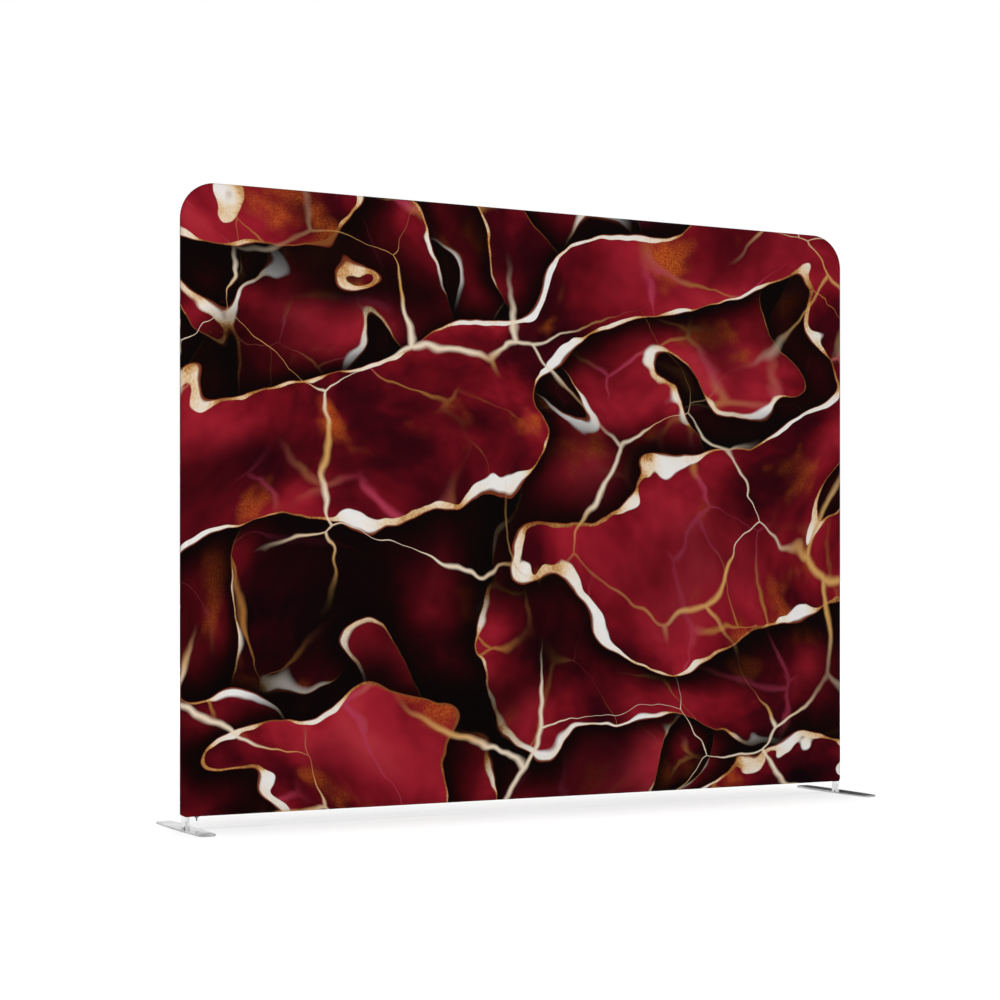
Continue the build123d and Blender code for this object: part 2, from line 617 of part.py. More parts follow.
def zip_tape():
    """Front tape: flat beside the coil, then sewn up the inside of the fabric."""
    turn = hem_angle(COVER_R)
    run = sqrt(HEM_HALF_GAP**2 + (BOTTOM_TUBE_HEIGHT - HEM_HEIGHT) ** 2 - COVER_R**2)
    low = COIL_Z - TAPE_THICKNESS / 2
    high = COIL_Z + TAPE_THICKNESS / 2

    def on_lining(depth, height):
        """Point at a depth inside the fabric's lining, at a height."""
        radius = LINING_R - depth
        down = (BOTTOM_TUBE_HEIGHT - height - radius * sin(turn)) / cos(turn)
        return (radius * cos(turn) - down * sin(turn), height)

    def along_lining(depth, up):
        """Point at a depth inside the lining, a length up from the hem."""
        radius = LINING_R - depth
        down = run - up
        x = radius * cos(turn) - down * sin(turn)
        return (x, BOTTOM_TUBE_HEIGHT - radius * sin(turn) - down * cos(turn))

    section = make_face(
        Polyline(
            (TAPE_INNER_EDGE, low),
            on_lining(0, low),
            along_lining(0, TAPE_RISE),
            along_lining(TAPE_THICKNESS, TAPE_RISE),
            on_lining(TAPE_THICKNESS, high),
            (TAPE_INNER_EDGE, high),
            close=True,
        )
    )
    half = ZIP_HALF - TAPE_END_GAP
    return extrude(section_plane(-half) * section, 2 * half, dir=(1, 0, 0))


def zip_coil():
    """Front coil of the closed zip, from the slider to the bottom stop."""
    section = Rectangle(COIL_WIDTH, COIL_HEIGHT, align=(Align.MIN, Align.CENTER))
    outer_corners = section.vertices().group_by(Axis.X)[-1]
    section = fillet(outer_corners, COIL_ROUND)
    start = SLIDER_X - SLIDER_LENGTH / 2 + NECK_START + NECK_LENGTH + CHANNEL_CLEARANCE
    length = ZIP_HALF - COIL_END_GAP - start
    place = Plane((start, 0, COIL_Z), x_dir=FRONT, z_dir=(-1, 0, 0))
    return extrude(place * section, length, dir=(1, 0, 0))


def zip_bottom_stop():
    """Clamp that closes the far end of both coils."""
    block = Box(STOP_LENGTH, 2 * STOP_HALF_WIDTH, 2 * STOP_HALF_HEIGHT)
    block = fillet(block.edges().filter_by(Axis.X), COIL_ROUND)
    slot_width = 2 * (STOP_HALF_WIDTH - TAPE_INNER_EDGE)
    for sign in (-1, 1):
        block -= Pos(0, sign * STOP_HALF_WIDTH, 0) * Box(STOP_LENGTH, slot_width, TAPE_THICKNESS)
    return Pos(ZIP_HALF - COIL_END_GAP + STOP_LENGTH / 2, 0, COIL_Z) * block


def slider_outline():
    """Plan of the slider's plates: wide shoulders at the mouth, narrower at the tail."""
    front = -SLIDER_LENGTH / 2
    half = [
        (front, SLIDER_NOSE_HALF_WIDTH),
        (front + SLIDER_SHOULDER, SLIDER_MOUTH_HALF_WIDTH),
        (-front, SLIDER_TAIL_HALF_WIDTH),
    ]
    other = [(x, -y) for x, y in reversed(half)]
    outline = make_face(Polyline(half + other, close=True))
    return fillet(outline.vertices(), SLIDER_ROUND)


def slider_bridge():
    """Arch under the slider that the pull's bar hangs in."""
    under = -SLIDER_HALF_HEIGHT
    root = SLIDER_PLATE / 2
    outer = Pos(0, under - BRIDGE_DROP) * Rectangle(
        BRIDGE_LENGTH, BRIDGE_DROP + root, align=(Align.CENTER, Align.MIN)
    )
    outer = fillet(outer.vertices().group_by(Axis.Y)[0], BRIDGE_BAR)
    window = Pos(0, under - BRIDGE_DROP + BRIDGE_BAR) * Rectangle(
        BRIDGE_LENGTH - 2 * BRIDGE_POST, BRIDGE_DROP - BRIDGE_BAR, align=(Align.CENTER, Align.MIN)
    )
    window = fillet(window.vertices().group_by(Axis.Y)[0], BRIDGE_BAR / 2)
    return extrude(Plane.XZ * (outer - window), BRIDGE_WIDTH / 2, both=True)


def zip_slider():
    """Slider: two plates joined at the neck, with slots for the tapes at its sides."""
    channel = COIL_HEIGHT + 2 * CHANNEL_CLEARANCE
    slot = TAPE_THICKNESS + 2 * CHANNEL_CLEARANCE
    body = extrude(slider_outline(), SLIDER_HALF_HEIGHT, both=True)
    body -= Box(2 * SLIDER_LENGTH, 2 * CHANNEL_HALF_WIDTH, channel)
    body -= Box(2 * SLIDER_LENGTH, 2 * SLIDER_LENGTH, slot)
    mouth = (Align.MIN, Align.CENTER, Align.CENTER)
    body -= Pos(-SLIDER_LENGTH / 2, 0, 0) * Box(MOUTH_LENGTH, 2 * MOUTH_HALF_WIDTH, channel, align=mouth)
    tip = -SLIDER_LENGTH / 2 + NECK_START
    middle = tip + NECK_LENGTH / 2
    end = tip + NECK_LENGTH
    diamond = Polyline((tip, 0), (middle, NECK_HALF_WIDTH), (end, 0), (middle, -NECK_HALF_WIDTH), close=True)
    body += extrude(make_face(diamond), (channel + SLIDER_PLATE) / 2, both=True)
    return Pos(SLIDER_X, 0, COIL_Z) * (body + slider_bridge())


def zip_pull():
    """Tab that hangs from a round bar in the slider's bridge."""
    outline = Rectangle(2 * PULL_HALF_WIDTH, PULL_LENGTH, align=(Align.CENTER, Align.MAX))
    outline = fillet(outline.vertices().group_by(Axis.Y)[0], PULL_ROUND)
    outline -= Rectangle(2 * PULL_WINDOW_HALF_WIDTH, PULL_WINDOW_LENGTH, align=(Align.CENTER, Align.MAX))
    tab = extrude(Plane.YZ * outline, PULL_THICKNESS / 2, both=True)
    bar = Rot(90, 0, 0) * Cylinder(PULL_BAR_RADIUS, 2 * PULL_HALF_WIDTH)
    return Pos(SLIDER_X, 0, PULL_BAR_Z) * (tab + bar)


def mirrored_back(piece):
    """The same piece on the back."""
    return mirror(piece, about=Plane.XZ)


def side_pieces(side):
    """Pieces that stand on one side, by name."""
    sign = SIDES[side]
    return {
        "foot_plate_" + side: foot_plate(sign),
        "foot_stub_" + side: foot_stub(side),
        "leg_sleeve_" + side: leg_sleeve(side),
        "upright_lower_" + side: upright_lower(side),
        "upright_upper_" + side: upright_upper(side),
        "upright_connector_" + side: upright_connector(side),
        "elbow_" + side: elbow(side),
        "elbow_spigots_" + side: elbow_spigots(side),
        "top_tube_" + side: top_tube(side),
        "bottom_tube_" + side: bottom_tube(side),
        "bottom_spigot_" + side: bottom_spigot(side),
    }


def middle_pieces():
    """Connectors of the cross tubes and the centre prop, by name."""
    return {
        "top_connector": middle_connector(TOP_Z, "top"),
        "bottom_connector": middle_connector(BOTTOM_TUBE_HEIGHT, "bottom"),
        "prop_lower": prop_lower(),
        "prop_upper": prop_upper(),
        "prop_connector": prop_connector(),
        "prop_saddle_bottom": prop_saddle(BOTTOM_TUBE_HEIGHT, 1, "saddle_bottom"),
        "prop_saddle_top": prop_saddle(TOP_Z, -1, "saddle_top"),
    }


def fastenings():
    """Buttons, and the groups of springs, rivets and screws, by name."""
    pieces = {name: place * snap_button(FRAME_JOINT) for name, place in BUTTONS.items()}
    pieces |= {name: place * snap_button(FOOT_JOINT) for name, place in FOOT_BUTTONS.items()}
    springs = [place * snap_spring(FRAME_JOINT) for place in BUTTONS.values()]
    springs += [place * snap_spring(FOOT_JOINT) for place in FOOT_BUTTONS.values()]
    pieces["snap_springs"] = Compound(springs)
    pieces["connector_rivets"] = Compound([place * blind_rivet(FRAME_JOINT) for place in RIVETS.values()])
    pieces["foot_screws"] = Compound([foot_screw(sign) for sign in SIDES.values()])
    return pieces


def cover_pieces():
    """Panels and zip, by name."""
    panel = cover_panel()
    tape = zip_tape()
    coil = zip_coil()
    return {
        "front_panel": panel,
        "back_panel": mirrored_back(panel),
        "zip_tape_front": tape,
        "zip_tape_back": mirrored_back(tape),
        "zip_coil_front": coil,
        "zip_coil_back": mirrored_back(coil),
        "zip_bottom_stop": zip_bottom_stop(),
        "zip_slider": zip_slider(),
        "zip_pull": zip_pull(),
    }


def main():
    """Build every piece and write each to its own file."""
    os.makedirs("parts", exist_ok=True)
    pieces = side_pieces("left") | side_pieces("right") | middle_pieces() | fastenings() | cover_pieces()
    for name, piece in pieces.items():
        export_step(piece, f"parts/{name}.step")


main()
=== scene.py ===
"""Looks of a free-standing fabric room divider, made round its fixed frame.

The cover's two panels are cut flat, printed, wrapped round the tubes and zipped underneath. The
tubes, legs, feet and fastenings are the frame's own pieces, and get their finishes here. Sizes
are in metres. X runs along the divider, +Y to its back and +Z up, and the floor is at Z = 0.
"""

import json
import logging
import math
from abc import ABC, abstractmethod
from dataclasses import dataclass, replace
from enum import Enum
from typing import Any, Sequence

import bmesh
import bpy
from mathutils import Matrix, Vector


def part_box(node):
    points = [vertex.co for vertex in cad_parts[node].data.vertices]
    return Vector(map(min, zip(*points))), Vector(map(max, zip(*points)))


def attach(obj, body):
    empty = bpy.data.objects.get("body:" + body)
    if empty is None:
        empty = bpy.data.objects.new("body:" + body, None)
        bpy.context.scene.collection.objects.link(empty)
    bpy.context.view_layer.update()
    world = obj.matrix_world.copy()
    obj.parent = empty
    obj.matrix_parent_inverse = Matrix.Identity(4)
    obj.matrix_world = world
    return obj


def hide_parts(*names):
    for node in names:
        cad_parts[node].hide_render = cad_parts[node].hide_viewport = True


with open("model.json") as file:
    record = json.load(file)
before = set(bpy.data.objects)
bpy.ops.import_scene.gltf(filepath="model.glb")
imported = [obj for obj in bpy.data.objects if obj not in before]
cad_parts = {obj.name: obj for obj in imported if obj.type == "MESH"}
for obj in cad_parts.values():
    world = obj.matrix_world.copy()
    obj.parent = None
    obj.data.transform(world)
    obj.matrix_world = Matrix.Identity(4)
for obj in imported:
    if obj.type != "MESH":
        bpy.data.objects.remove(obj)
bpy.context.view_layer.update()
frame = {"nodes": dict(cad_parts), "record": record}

LOG = logging.getLogger("room_divider")
BODY = "frame"
CUT_MAP = "cut"
SEAM_FIELD = "seam_distance"
QUARTER = math.pi / 2
TOUCH = 1e-6
MERGE = 1e-5
BLACK = (0.0, 0.0, 0.0)
WHITE = (1.0, 1.0, 1.0, 1.0)

Triple = tuple[float, float, float]
Value = Any
Socket = bpy.types.NodeSocket
Mesh = bmesh.types.BMesh
Piece = bpy.types.Object


class Face(Enum):
    """Side of the divider that a piece belongs to, as the sign of its Y."""

    FRONT = -1
    BACK = 1

    @property
    def label(self) -> str:
        """Name of the side as the pieces carry it."""
        return self.name.lower()


class Grain(Enum):
    """Way in which a metal was drawn or ground, as stretch along X, Y and Z."""

    ALONG_X = (0.02, 1.0, 1.0)
    ALONG_Z = (1.0, 1.0, 0.02)
    ALONG_Y = (1.0, 0.03, 1.0)
    EVEN = (1.0, 1.0, 1.0)


def smoothstep(value: float) -> float:
    """Soft rise from 0 where the value is 0 to 1 where it is 1."""
    held = min(1.0, max(0.0, value))
    return held * held * (3 - 2 * held)


class Graph:
    """Nodes of a material or of the surroundings, wired in short calls.

    Attributes:
        tree: Tree of the nodes.
        shader: Node that gives the look.
        output: Socket that shows it.
    """

    def __init__(
        self, tree: bpy.types.NodeTree, shader: str = "BsdfPrincipled", output: str = "OutputMaterial"
    ) -> None:
        """Empty a tree and start it with a shader.

        Args:
            tree: The tree.
            shader: Kind of the shader's node.
            output: Kind of the output's node.
        """
        self.tree = tree
        tree.nodes.clear()
        self.shader = self.node(shader)
        self.output = self.node(output).inputs["Surface"]
        self.feed(self.output, self.shader.outputs[0])

    def node(self, kind: str, *values: Value, **settings: Value) -> bpy.types.Node:
        """New node.

        Args:
            kind: Node type without its prefix.
            *values: Values or outputs for its sockets in their order, None to leave one alone.
            **settings: Properties to set on the node.

        Returns:
            The node.
        """
        made = self.tree.nodes.new("ShaderNode" + kind)
        for name, value in settings.items():
            setattr(made, name, value)
        for socket, value in zip(made.inputs, values):
            if value is not None:
                self.feed(socket, value)
        return made

    def feed(self, socket: Socket, value: Value) -> None:
        """Give a socket its value.

        Args:
            socket: The socket.
            value: Output to link to it, or its own value.
        """
        if isinstance(value, Socket):
            self.tree.links.new(value, socket)
        else:
            socket.default_value = value

    def set(self, **values: Value) -> None:
        """Feed the shader, by socket name with underscores for spaces."""
        for name, value in values.items():
            self.feed(self.shader.inputs[name.replace("_", " ")], value)

    def math(self, operation: str, *values: Value, clamp: bool = False) -> Socket:
        """Arithmetic on one to three numbers, held between 0 and 1 if clamped."""
        return self.node("Math", *values, operation=operation, use_clamp=clamp).outputs[0]

    def vector(self, operation: str, *values: Value) -> Socket:
        """Arithmetic on vectors, with a plain factor in the fourth place."""
        return self.node("VectorMath", *values, operation=operation).outputs[0]

    def mix(self, factor: Value, low: Value, high: Value) -> Socket:
        """Mix of two colours.

        Args:
            factor: Share of the second colour.
            low: First colour, or an output.
            high: Second colour, or an output.

        Returns:
            The mixed colour's output.
        """
        made = self.node("Mix", data_type="RGBA")
        for number, value in ((0, factor), (6, low), (7, high)):
            self.feed(made.inputs[number], (*value, 1.0) if isinstance(value, tuple) else value)
        return made.outputs[2]

    def rise(self, value: Value, low: Value, high: Value) -> Socket:
        """Smooth rise from 0 where a value is at low to 1 where it is at high."""
        return self.node("MapRange", value, low, high, interpolation_type="SMOOTHSTEP").outputs[0]

    def ramp(self, value: Value, stops: Sequence[tuple[float, Triple]]) -> Socket:
        """Colours along a value.

        Args:
            value: Output to read.
            stops: Places from 0 to 1 and their colours.

        Returns:
            The colour's output.
        """
        made = self.node("ValToRGB", value)
        band = made.color_ramp
        while len(band.elements) < len(stops):
            band.elements.new(1.0)
        for element, (place, colour) in zip(band.elements, stops):
            element.position = place
            element.color = (*colour, 1.0)
        return made.outputs[0]

    def noise(self, place: Value, scale: float, detail: float, roughness: float) -> bpy.types.Node:
        """Noise node read at a place, with its size in waves per metre."""
        return self.node("TexNoise", place, None, scale, detail, roughness)

    def level(self, place: Value, scale: float, detail: float = 2.0, roughness: float = 0.5) -> Socket:
        """Noise as one number about 0.5."""
        return self.noise(place, scale, detail, roughness).outputs["Fac"]

    def push(self, place: Value, scale: float, detail: float, reach: float) -> Socket:
        """Uneven push at a place, of a size in waves per metre and a reach in metres."""
        centred = self.vector("SUBTRACT", self.noise(place, scale, detail, 0.5).outputs["Color"], (0.5,) * 3)
        return self.vector("SCALE", centred, None, None, reach)

    def waves(self, value: Value, length: float) -> Socket:
        """Even waves of a length along a value."""
        return self.math("SINE", self.math("MULTIPLY", value, 2 * math.pi / length))

    def stretched(self, place: Value, stretch: Sequence[float]) -> Socket:
        """A place with each axis scaled by its own factor."""
        return self.vector("MULTIPLY", place, tuple(stretch))

    def turned(self, place: Value, degrees: float) -> Socket:
        """A place turned about Z."""
        angle = math.radians(degrees)
        return self.node("VectorRotate", place, None, None, angle, rotation_type="Z_AXIS").outputs[0]

    def bump(self, height: Value, strength: float, distance: float, under: Value = None) -> Socket:
        """Bumped normal.

        Args:
            height: Output that gives the height.
            strength: Share of the effect.
            distance: Height in metres where the output is 1.
            under: Normal to add to, if any.

        Returns:
            The normal's output.
        """
        made = self.node("Bump")
        self.feed(made.inputs["Height"], height)
        self.feed(made.inputs["Strength"], strength)
        self.feed(made.inputs["Distance"], distance)
        if under is not None:
            self.feed(made.inputs["Normal"], under)
        return made.outputs[0]

    def object_place(self) -> Socket:
        """Place in the divider's own frame, in metres."""
        return self.node("TexCoord").outputs["Object"]

    def cut_place(self) -> Socket:
        """Place on the flat cut of a cloth, in metres."""
        return self.node("UVMap", uv_map=CUT_MAP).outputs[0]

    def seen(self) -> Socket:
        """1 for what the camera sees, also in a mirror or through glass.

        Returns:
            The number's output.
        """
        path = self.node("LightPath").outputs
        mirrored = self.math("ADD", path["Is Camera Ray"], path["Is Glossy Ray"], clamp=True)
        return self.math("ADD", mirrored, path["Is Transmission Ray"], clamp=True)


@dataclass(frozen=True)
class Finish(ABC):
    """Finish of a surface, made into a material once and shared."""

    name: str

    @abstractmethod
    def wire(self, graph: Graph) -> None:
        """Wire the finish's nodes."""

    def material(self) -> bpy.types.Material:
        """The finish's material.

        Returns:
            The material, made when it is first asked for.
        """
        made = bpy.data.materials.get(self.name)
        if made is None:
            made = bpy.data.materials.new(self.name)
            made.use_nodes = True
            self.wire(Graph(made.node_tree))
        return made


@dataclass(frozen=True)
class FoldLayer:
    """One layer of the print's overlapping folds.

    Attributes:
        seat: Place in the endless pattern that the layer is read from.
        turn: Slant of its folds in degrees.
        scale: Waves per metre.
        stretch: Factors across and along the folds.
        bare: Level of the field up to which the layer leaves what is under it bare.
        rim: Width of its pale rim where that is widest, as a share of the field.
        shade: Width of the shadow that it drops, as a share of the field.
        blur: Softness of the rim's edges, as a share of its width.
    """

    seat: Triple
    turn: float
    scale: float
    stretch: Triple
    bare: float
    rim: float
    shade: float
    blur: float


@dataclass(frozen=True)
class PrintedKnit(Finish):
    """Stretch knit with an abstract dyed print of dark overlapping folds, pale rims and fine veins.

    Attributes:
        seat: Place in the endless pattern that the cloth is cut from.
        drift_scale: Waves per metre of the wide drift.
        drift: Reach of the drift.
        ripple_scale: Waves per metre of the small ripples.
        ripple: Reach of the ripples.
        wale: Width of a column of loops.
        course: Height of a row of loops.
        pucker_width: Width of the puckers beside the seam.
    """

    seat: Triple = (0.0, 0.0, 0.0)
    drift_scale: float = 0.9
    drift: float = 0.75
    ripple_scale: float = 6.0
    ripple: float = 0.05
    wale: float = 0.0011
    course: float = 0.0009
    pucker_width: float = 0.012

    GROUND_SEAT = (1.7, 0.4, 2.0)
    VEIN_SEAT = (4.4, 8.1, 0.0)
    LAYERS = (
        FoldLayer((3.1, 7.7, 1.0), 25.0, 2.5, (1.0, 0.55, 1.0), 0.47, 0.024, 0.17, 0.60),
        FoldLayer((9.4, 2.3, 4.0), -40.0, 2.2, (1.0, 0.50, 1.0), 0.49, 0.028, 0.16, 0.25),
        FoldLayer((5.2, 5.9, 8.0), 75.0, 1.9, (1.0, 0.50, 1.0), 0.52, 0.032, 0.14, 0.06),
    )
    CRIMSONS = (
        (0.30, (0.003, 0.000, 0.001)),
        (0.42, (0.050, 0.001, 0.004)),
        (0.52, (0.165, 0.004, 0.010)),
        (0.63, (0.320, 0.012, 0.024)),
        (0.80, (0.46, 0.035, 0.050)),
    )
    CREAMS = (
        (0.05, (0.20, 0.060, 0.015)),
        (0.25, (0.50, 0.24, 0.070)),
        (0.40, (0.74, 0.54, 0.33)),
        (0.58, (0.80, 0.71, 0.60)),
        (0.85, (0.82, 0.80, 0.78)),
    )
    EMBERS = ((0.34, 0.028, 0.006), (0.66, 0.17, 0.022))
    SOFT_VEINS = ((0.42, 0.040, 0.085), (0.40, 0.16, 0.040))
    SHARP_VEINS = ((0.80, 0.66, 0.50), (0.60, 0.32, 0.100))
    SHADOW = (0.001, 0.000, 0.000)
    DEEP = (0.004, 0.000, 0.001)
    RIM_EDGE = (0.16, 0.030, 0.012)

    def veins(self, graph: Graph, place: Value, scale: float, widest: float) -> Socket:
        """Share of branching veins, sharp in some stretches and soft or gone in others.

        Args:
            graph: The material's nodes.
            place: Place in the drifting pattern.
            scale: Meshes of the veins' net per metre.
            widest: Width of a vein where it is widest, as a share of a mesh.

        Returns:
            The share's output.
        """
        shaken = graph.vector("ADD", place, graph.push(place, scale * 2.5, 2.0, 0.22 / scale))
        net = graph.node(
            "TexVoronoi", shaken, None, scale, voronoi_dimensions="2D", feature="DISTANCE_TO_EDGE"
        )
        change = graph.rise(graph.level(place, scale * 0.9, 1.0), 0.35, 0.65)
        width = graph.math("MULTIPLY_ADD", change, widest, widest * 0.08)
        line = graph.math("SUBTRACT", 1.0, graph.rise(net.outputs["Distance"], 0.0, width))
        return graph.math("MULTIPLY", line, graph.rise(graph.level(place, scale * 0.8, 0.0), 0.40, 0.56))

    def body(self, graph: Graph, own: Value) -> Socket:
        """Colour inside a layer.

        Args:
            graph: The material's nodes.
            own: Place in the layer's own part of the drifting pattern.

        Returns:
            The colour's output.
        """
        depth = graph.ramp(graph.level(own, 2.0, 4.0, 0.55), self.CRIMSONS)
        ember = graph.rise(graph.level(own, 3.6, 3.0), 0.58, 0.74)
        speck = graph.rise(graph.level(own, 230.0, 2.0, 0.7), 0.36, 0.70)
        warm = graph.mix(graph.math("MULTIPLY", ember, 0.75), depth, graph.mix(speck, *self.EMBERS))
        soft = graph.mix(graph.rise(graph.level(own, 2.7, 0.0), 0.42, 0.58), *self.SOFT_VEINS)
        return graph.mix(graph.math("MULTIPLY", self.veins(graph, own, 3.2, 0.075), 0.8), warm, soft)

    def over(self, graph: Graph, place: Value, under: Value, layer: FoldLayer) -> Socket:
        """A layer laid over the print so far.

        Args:
            graph: The material's nodes.
            place: Place in the drifting pattern.
            under: Colour so far.
            layer: The layer.

        Returns:
            The new colour's output.
        """
        own = graph.vector("ADD", place, layer.seat)
        folds = graph.stretched(graph.turned(own, layer.turn), layer.stretch)
        height = graph.math("SUBTRACT", graph.level(folds, layer.scale, 1.5, 0.4), layer.bare)
        drop = graph.math("POWER", graph.rise(height, -layer.shade, 0.0), 0.8)
        shaded = graph.mix(graph.math("MULTIPLY", drop, 0.98), under, self.SHADOW)
        uneven = graph.rise(graph.level(own, 3.4, 2.0, 0.6), 0.36, 0.74)
        swelling = graph.math("POWER", uneven, 1.7)
        width = graph.math("MULTIPLY_ADD", swelling, layer.rim * 1.15, layer.rim * 0.12)
        soft = layer.rim * layer.blur * 0.2
        covered = graph.rise(height, -soft, soft)
        inwards = graph.math("MULTIPLY", graph.rise(height, 0.02, 0.26), 0.85)
        body = graph.mix(inwards, self.body(graph, own), self.DEEP)
        share = graph.math("DIVIDE", height, width)
        grain = graph.math("MULTIPLY_ADD", graph.level(place, 120.0, 3.0, 0.7), 0.5, -0.25)
        pale = graph.ramp(graph.math("ADD", uneven, grain), self.CREAMS)
        edge = graph.mix(graph.rise(share, 0.10, 0.30), self.RIM_EDGE, pale)
        rim = graph.math("SUBTRACT", 1.0, graph.rise(share, 1.0 - layer.blur, 1.0 + layer.blur))
        return graph.mix(covered, shaded, graph.mix(rim, body, edge))

    def picture(self, graph: Graph, cut: Value) -> Socket:
        """Colour of the print.

        Args:
            graph: The material's nodes.
            cut: Place on the flat cut.

        Returns:
            The colour's output.
        """
        seated = graph.vector("ADD", cut, self.seat)
        place = graph.vector("ADD", seated, graph.push(seated, self.drift_scale, 1.0, self.drift))
        place = graph.vector("ADD", place, graph.push(seated, self.ripple_scale, 2.0, self.ripple))
        colour = self.body(graph, graph.vector("ADD", place, self.GROUND_SEAT))
        for layer in self.LAYERS:
            colour = self.over(graph, place, colour, layer)
        sharp = graph.vector("ADD", place, self.VEIN_SEAT)
        line = graph.mix(graph.rise(graph.level(sharp, 2.2, 0.0), 0.42, 0.58), *self.SHARP_VEINS)
        return graph.mix(self.veins(graph, sharp, 1.9, 0.036), colour, line)

    def wire(self, graph: Graph) -> None:
        """Wire the print, the knit's loops and the puckers beside the seam.

        Args:
            graph: The material's nodes.
        """
        cut = graph.cut_place()
        yarn = graph.rise(graph.level(cut, 900.0, 1.0), 0.2, 0.8)
        colour = graph.mix(graph.math("MULTIPLY", yarn, 0.10), self.picture(graph, cut), BLACK)
        seam = graph.node("Attribute", attribute_name=SEAM_FIELD).outputs["Fac"]
        near = graph.math("SUBTRACT", 1.0, graph.rise(seam, 0.0, self.pucker_width))
        pucker = graph.math("MULTIPLY", graph.level(cut, 110.0, 1.0), near)
        across, along, _ = graph.node("SeparateXYZ", cut).outputs
        wales = graph.math("ABSOLUTE", graph.waves(across, self.wale))
        courses = graph.math("MULTIPLY", graph.waves(along, self.course), 0.3)
        normal = graph.bump(graph.math("MULTIPLY_ADD", wales, 0.6, courses), 0.18, 0.00025)
        normal = graph.bump(pucker, 0.5, 0.002, normal)
        graph.set(Base_Color=colour, Roughness=graph.math("MULTIPLY_ADD", yarn, 0.15, 0.70), Normal=normal)
        graph.set(Specular_IOR_Level=0.03)


@dataclass(frozen=True)
class WovenTape(Finish):
    """Black herringbone tape.

    Attributes:
        rib: Width of a rib.
        zigzag: Width over which the ribs slant one way.
    """

    rib: float = 0.0009
    zigzag: float = 0.0025

    def wire(self, graph: Graph) -> None:
        """Wire the slanting ribs, with painted shade in the grooves between them.

        Args:
            graph: The material's nodes.
        """
        cut = graph.cut_place()
        along, across, _ = graph.node("SeparateXYZ", cut).outputs
        slant = graph.math("ADD", along, graph.math("PINGPONG", across, self.zigzag))
        rib = graph.rise(graph.waves(slant, self.rib), -0.6, 0.9)
        dust = graph.math("MULTIPLY", graph.level(cut, 60.0, 3.0), 0.25)
        # Darker where the ribs' bump sinks: painted shade in the grooves between them.
        colour = graph.mix(rib, (0.006, 0.006, 0.007), (0.026, 0.025, 0.027))
        graph.set(Base_Color=graph.mix(dust, colour, (0.05, 0.048, 0.046)))
        graph.set(Roughness=graph.math("MULTIPLY_ADD", rib, -0.12, 0.85), Specular_IOR_Level=0.3)
        graph.set(Normal=graph.bump(rib, 0.6, 0.00025))


@dataclass(frozen=True)
class Yarn(Finish):
    """Twisted sewing thread or drawn nylon.

    Attributes:
        dark: Colour between the strands, which is painted shade where the twist sinks.
        light: Colour of the strands.
        roughness: Middle roughness.
    """

    dark: Triple = (0.05, 0.004, 0.008)
    light: Triple = (0.13, 0.010, 0.02)
    roughness: float = 0.6

    def wire(self, graph: Graph) -> None:
        """Wire the twist, with painted shade between the strands.

        Args:
            graph: The material's nodes.
        """
        twist = graph.level(graph.stretched(graph.object_place(), (1.0, 2.0, 2.0)), 1500.0, 1.0)
        # Darker where the twist's bump sinks: painted shade between the strands.
        graph.set(Base_Color=graph.mix(graph.rise(twist, 0.35, 0.65), self.dark, self.light))
        graph.set(Roughness=graph.math("MULTIPLY_ADD", twist, 0.2, self.roughness - 0.1))
        graph.set(Normal=graph.bump(twist, 0.3, 0.0001), Specular_IOR_Level=0.45)


@dataclass(frozen=True)
class Metal(Finish):
    """Bare or plated metal with its grain, smudges and fine scratches.

    Attributes:
        dark: Colour in the smudges.
        light: Colour of the clean metal.
        roughness: Roughness of the clean metal.
        smudge: How much rougher the smudges are.
        grain: Way in which the metal was drawn or ground.
        depth: Strength of the grain.
    """

    dark: Triple
    light: Triple
    roughness: float
    smudge: float
    grain: Grain
    depth: float

    def wire(self, graph: Graph) -> None:
        """Wire the smudges, the grain and the scratches.

        Args:
            graph: The material's nodes.
        """
        place = graph.object_place()
        smear = graph.rise(graph.level(place, 14.0, 4.0, 0.6), 0.35, 0.7)
        lines = graph.level(graph.stretched(place, self.grain.value), 1800.0, 2.0)
        scratch = graph.level(graph.stretched(place, (1.0, 0.08, 1.0)), 420.0, 1.0)
        scratch = graph.rise(graph.math("ABSOLUTE", graph.math("SUBTRACT", scratch, 0.5)), 0.0, 0.006)
        rough = graph.math("MULTIPLY_ADD", smear, self.smudge, self.roughness)
        rough = graph.math("MULTIPLY_ADD", lines, self.depth, rough)
        rough = graph.math("MULTIPLY_ADD", graph.math("SUBTRACT", 1.0, scratch), 0.08, rough)
        graph.set(Base_Color=graph.mix(smear, self.light, self.dark), Metallic=1.0, Roughness=rough)
        graph.set(Normal=graph.bump(lines, self.depth, 0.0001))


@dataclass(frozen=True)
class Enamel(Finish):
    """Black baked enamel on die-cast metal, worn to a warm grey on its rubbed spots."""

    def wire(self, graph: Graph) -> None:
        """Wire the worn spots and the orange peel.

        Args:
            graph: The material's nodes.
        """
        place = graph.object_place()
        worn = graph.rise(graph.level(place, 700.0, 4.0, 0.65), 0.60, 0.68)
        peel = graph.level(place, 1800.0, 1.0)
        graph.set(Base_Color=graph.mix(worn, (0.012, 0.012, 0.013), (0.24, 0.23, 0.22)))
        graph.set(Roughness=graph.math("MULTIPLY_ADD", peel, 0.25, 0.25), Coat_Weight=0.3, Coat_Roughness=0.2)
        graph.set(Normal=graph.bump(peel, 0.15, 0.0001))


@dataclass(frozen=True)
class MouldedPlastic(Finish):
    """Black moulded plastic with a fine spark-eroded grain."""

    def wire(self, graph: Graph) -> None:
        """Wire the grain.

        Args:
            graph: The material's nodes.
        """
        grain = graph.level(graph.object_place(), 2200.0, 3.0, 0.6)
        graph.set(Base_Color=graph.mix(grain, (0.014, 0.014, 0.015), (0.036, 0.036, 0.038)))
        graph.set(Roughness=graph.math("MULTIPLY_ADD", grain, 0.3, 0.4))
        graph.set(Normal=graph.bump(grain, 0.4, 0.0001))


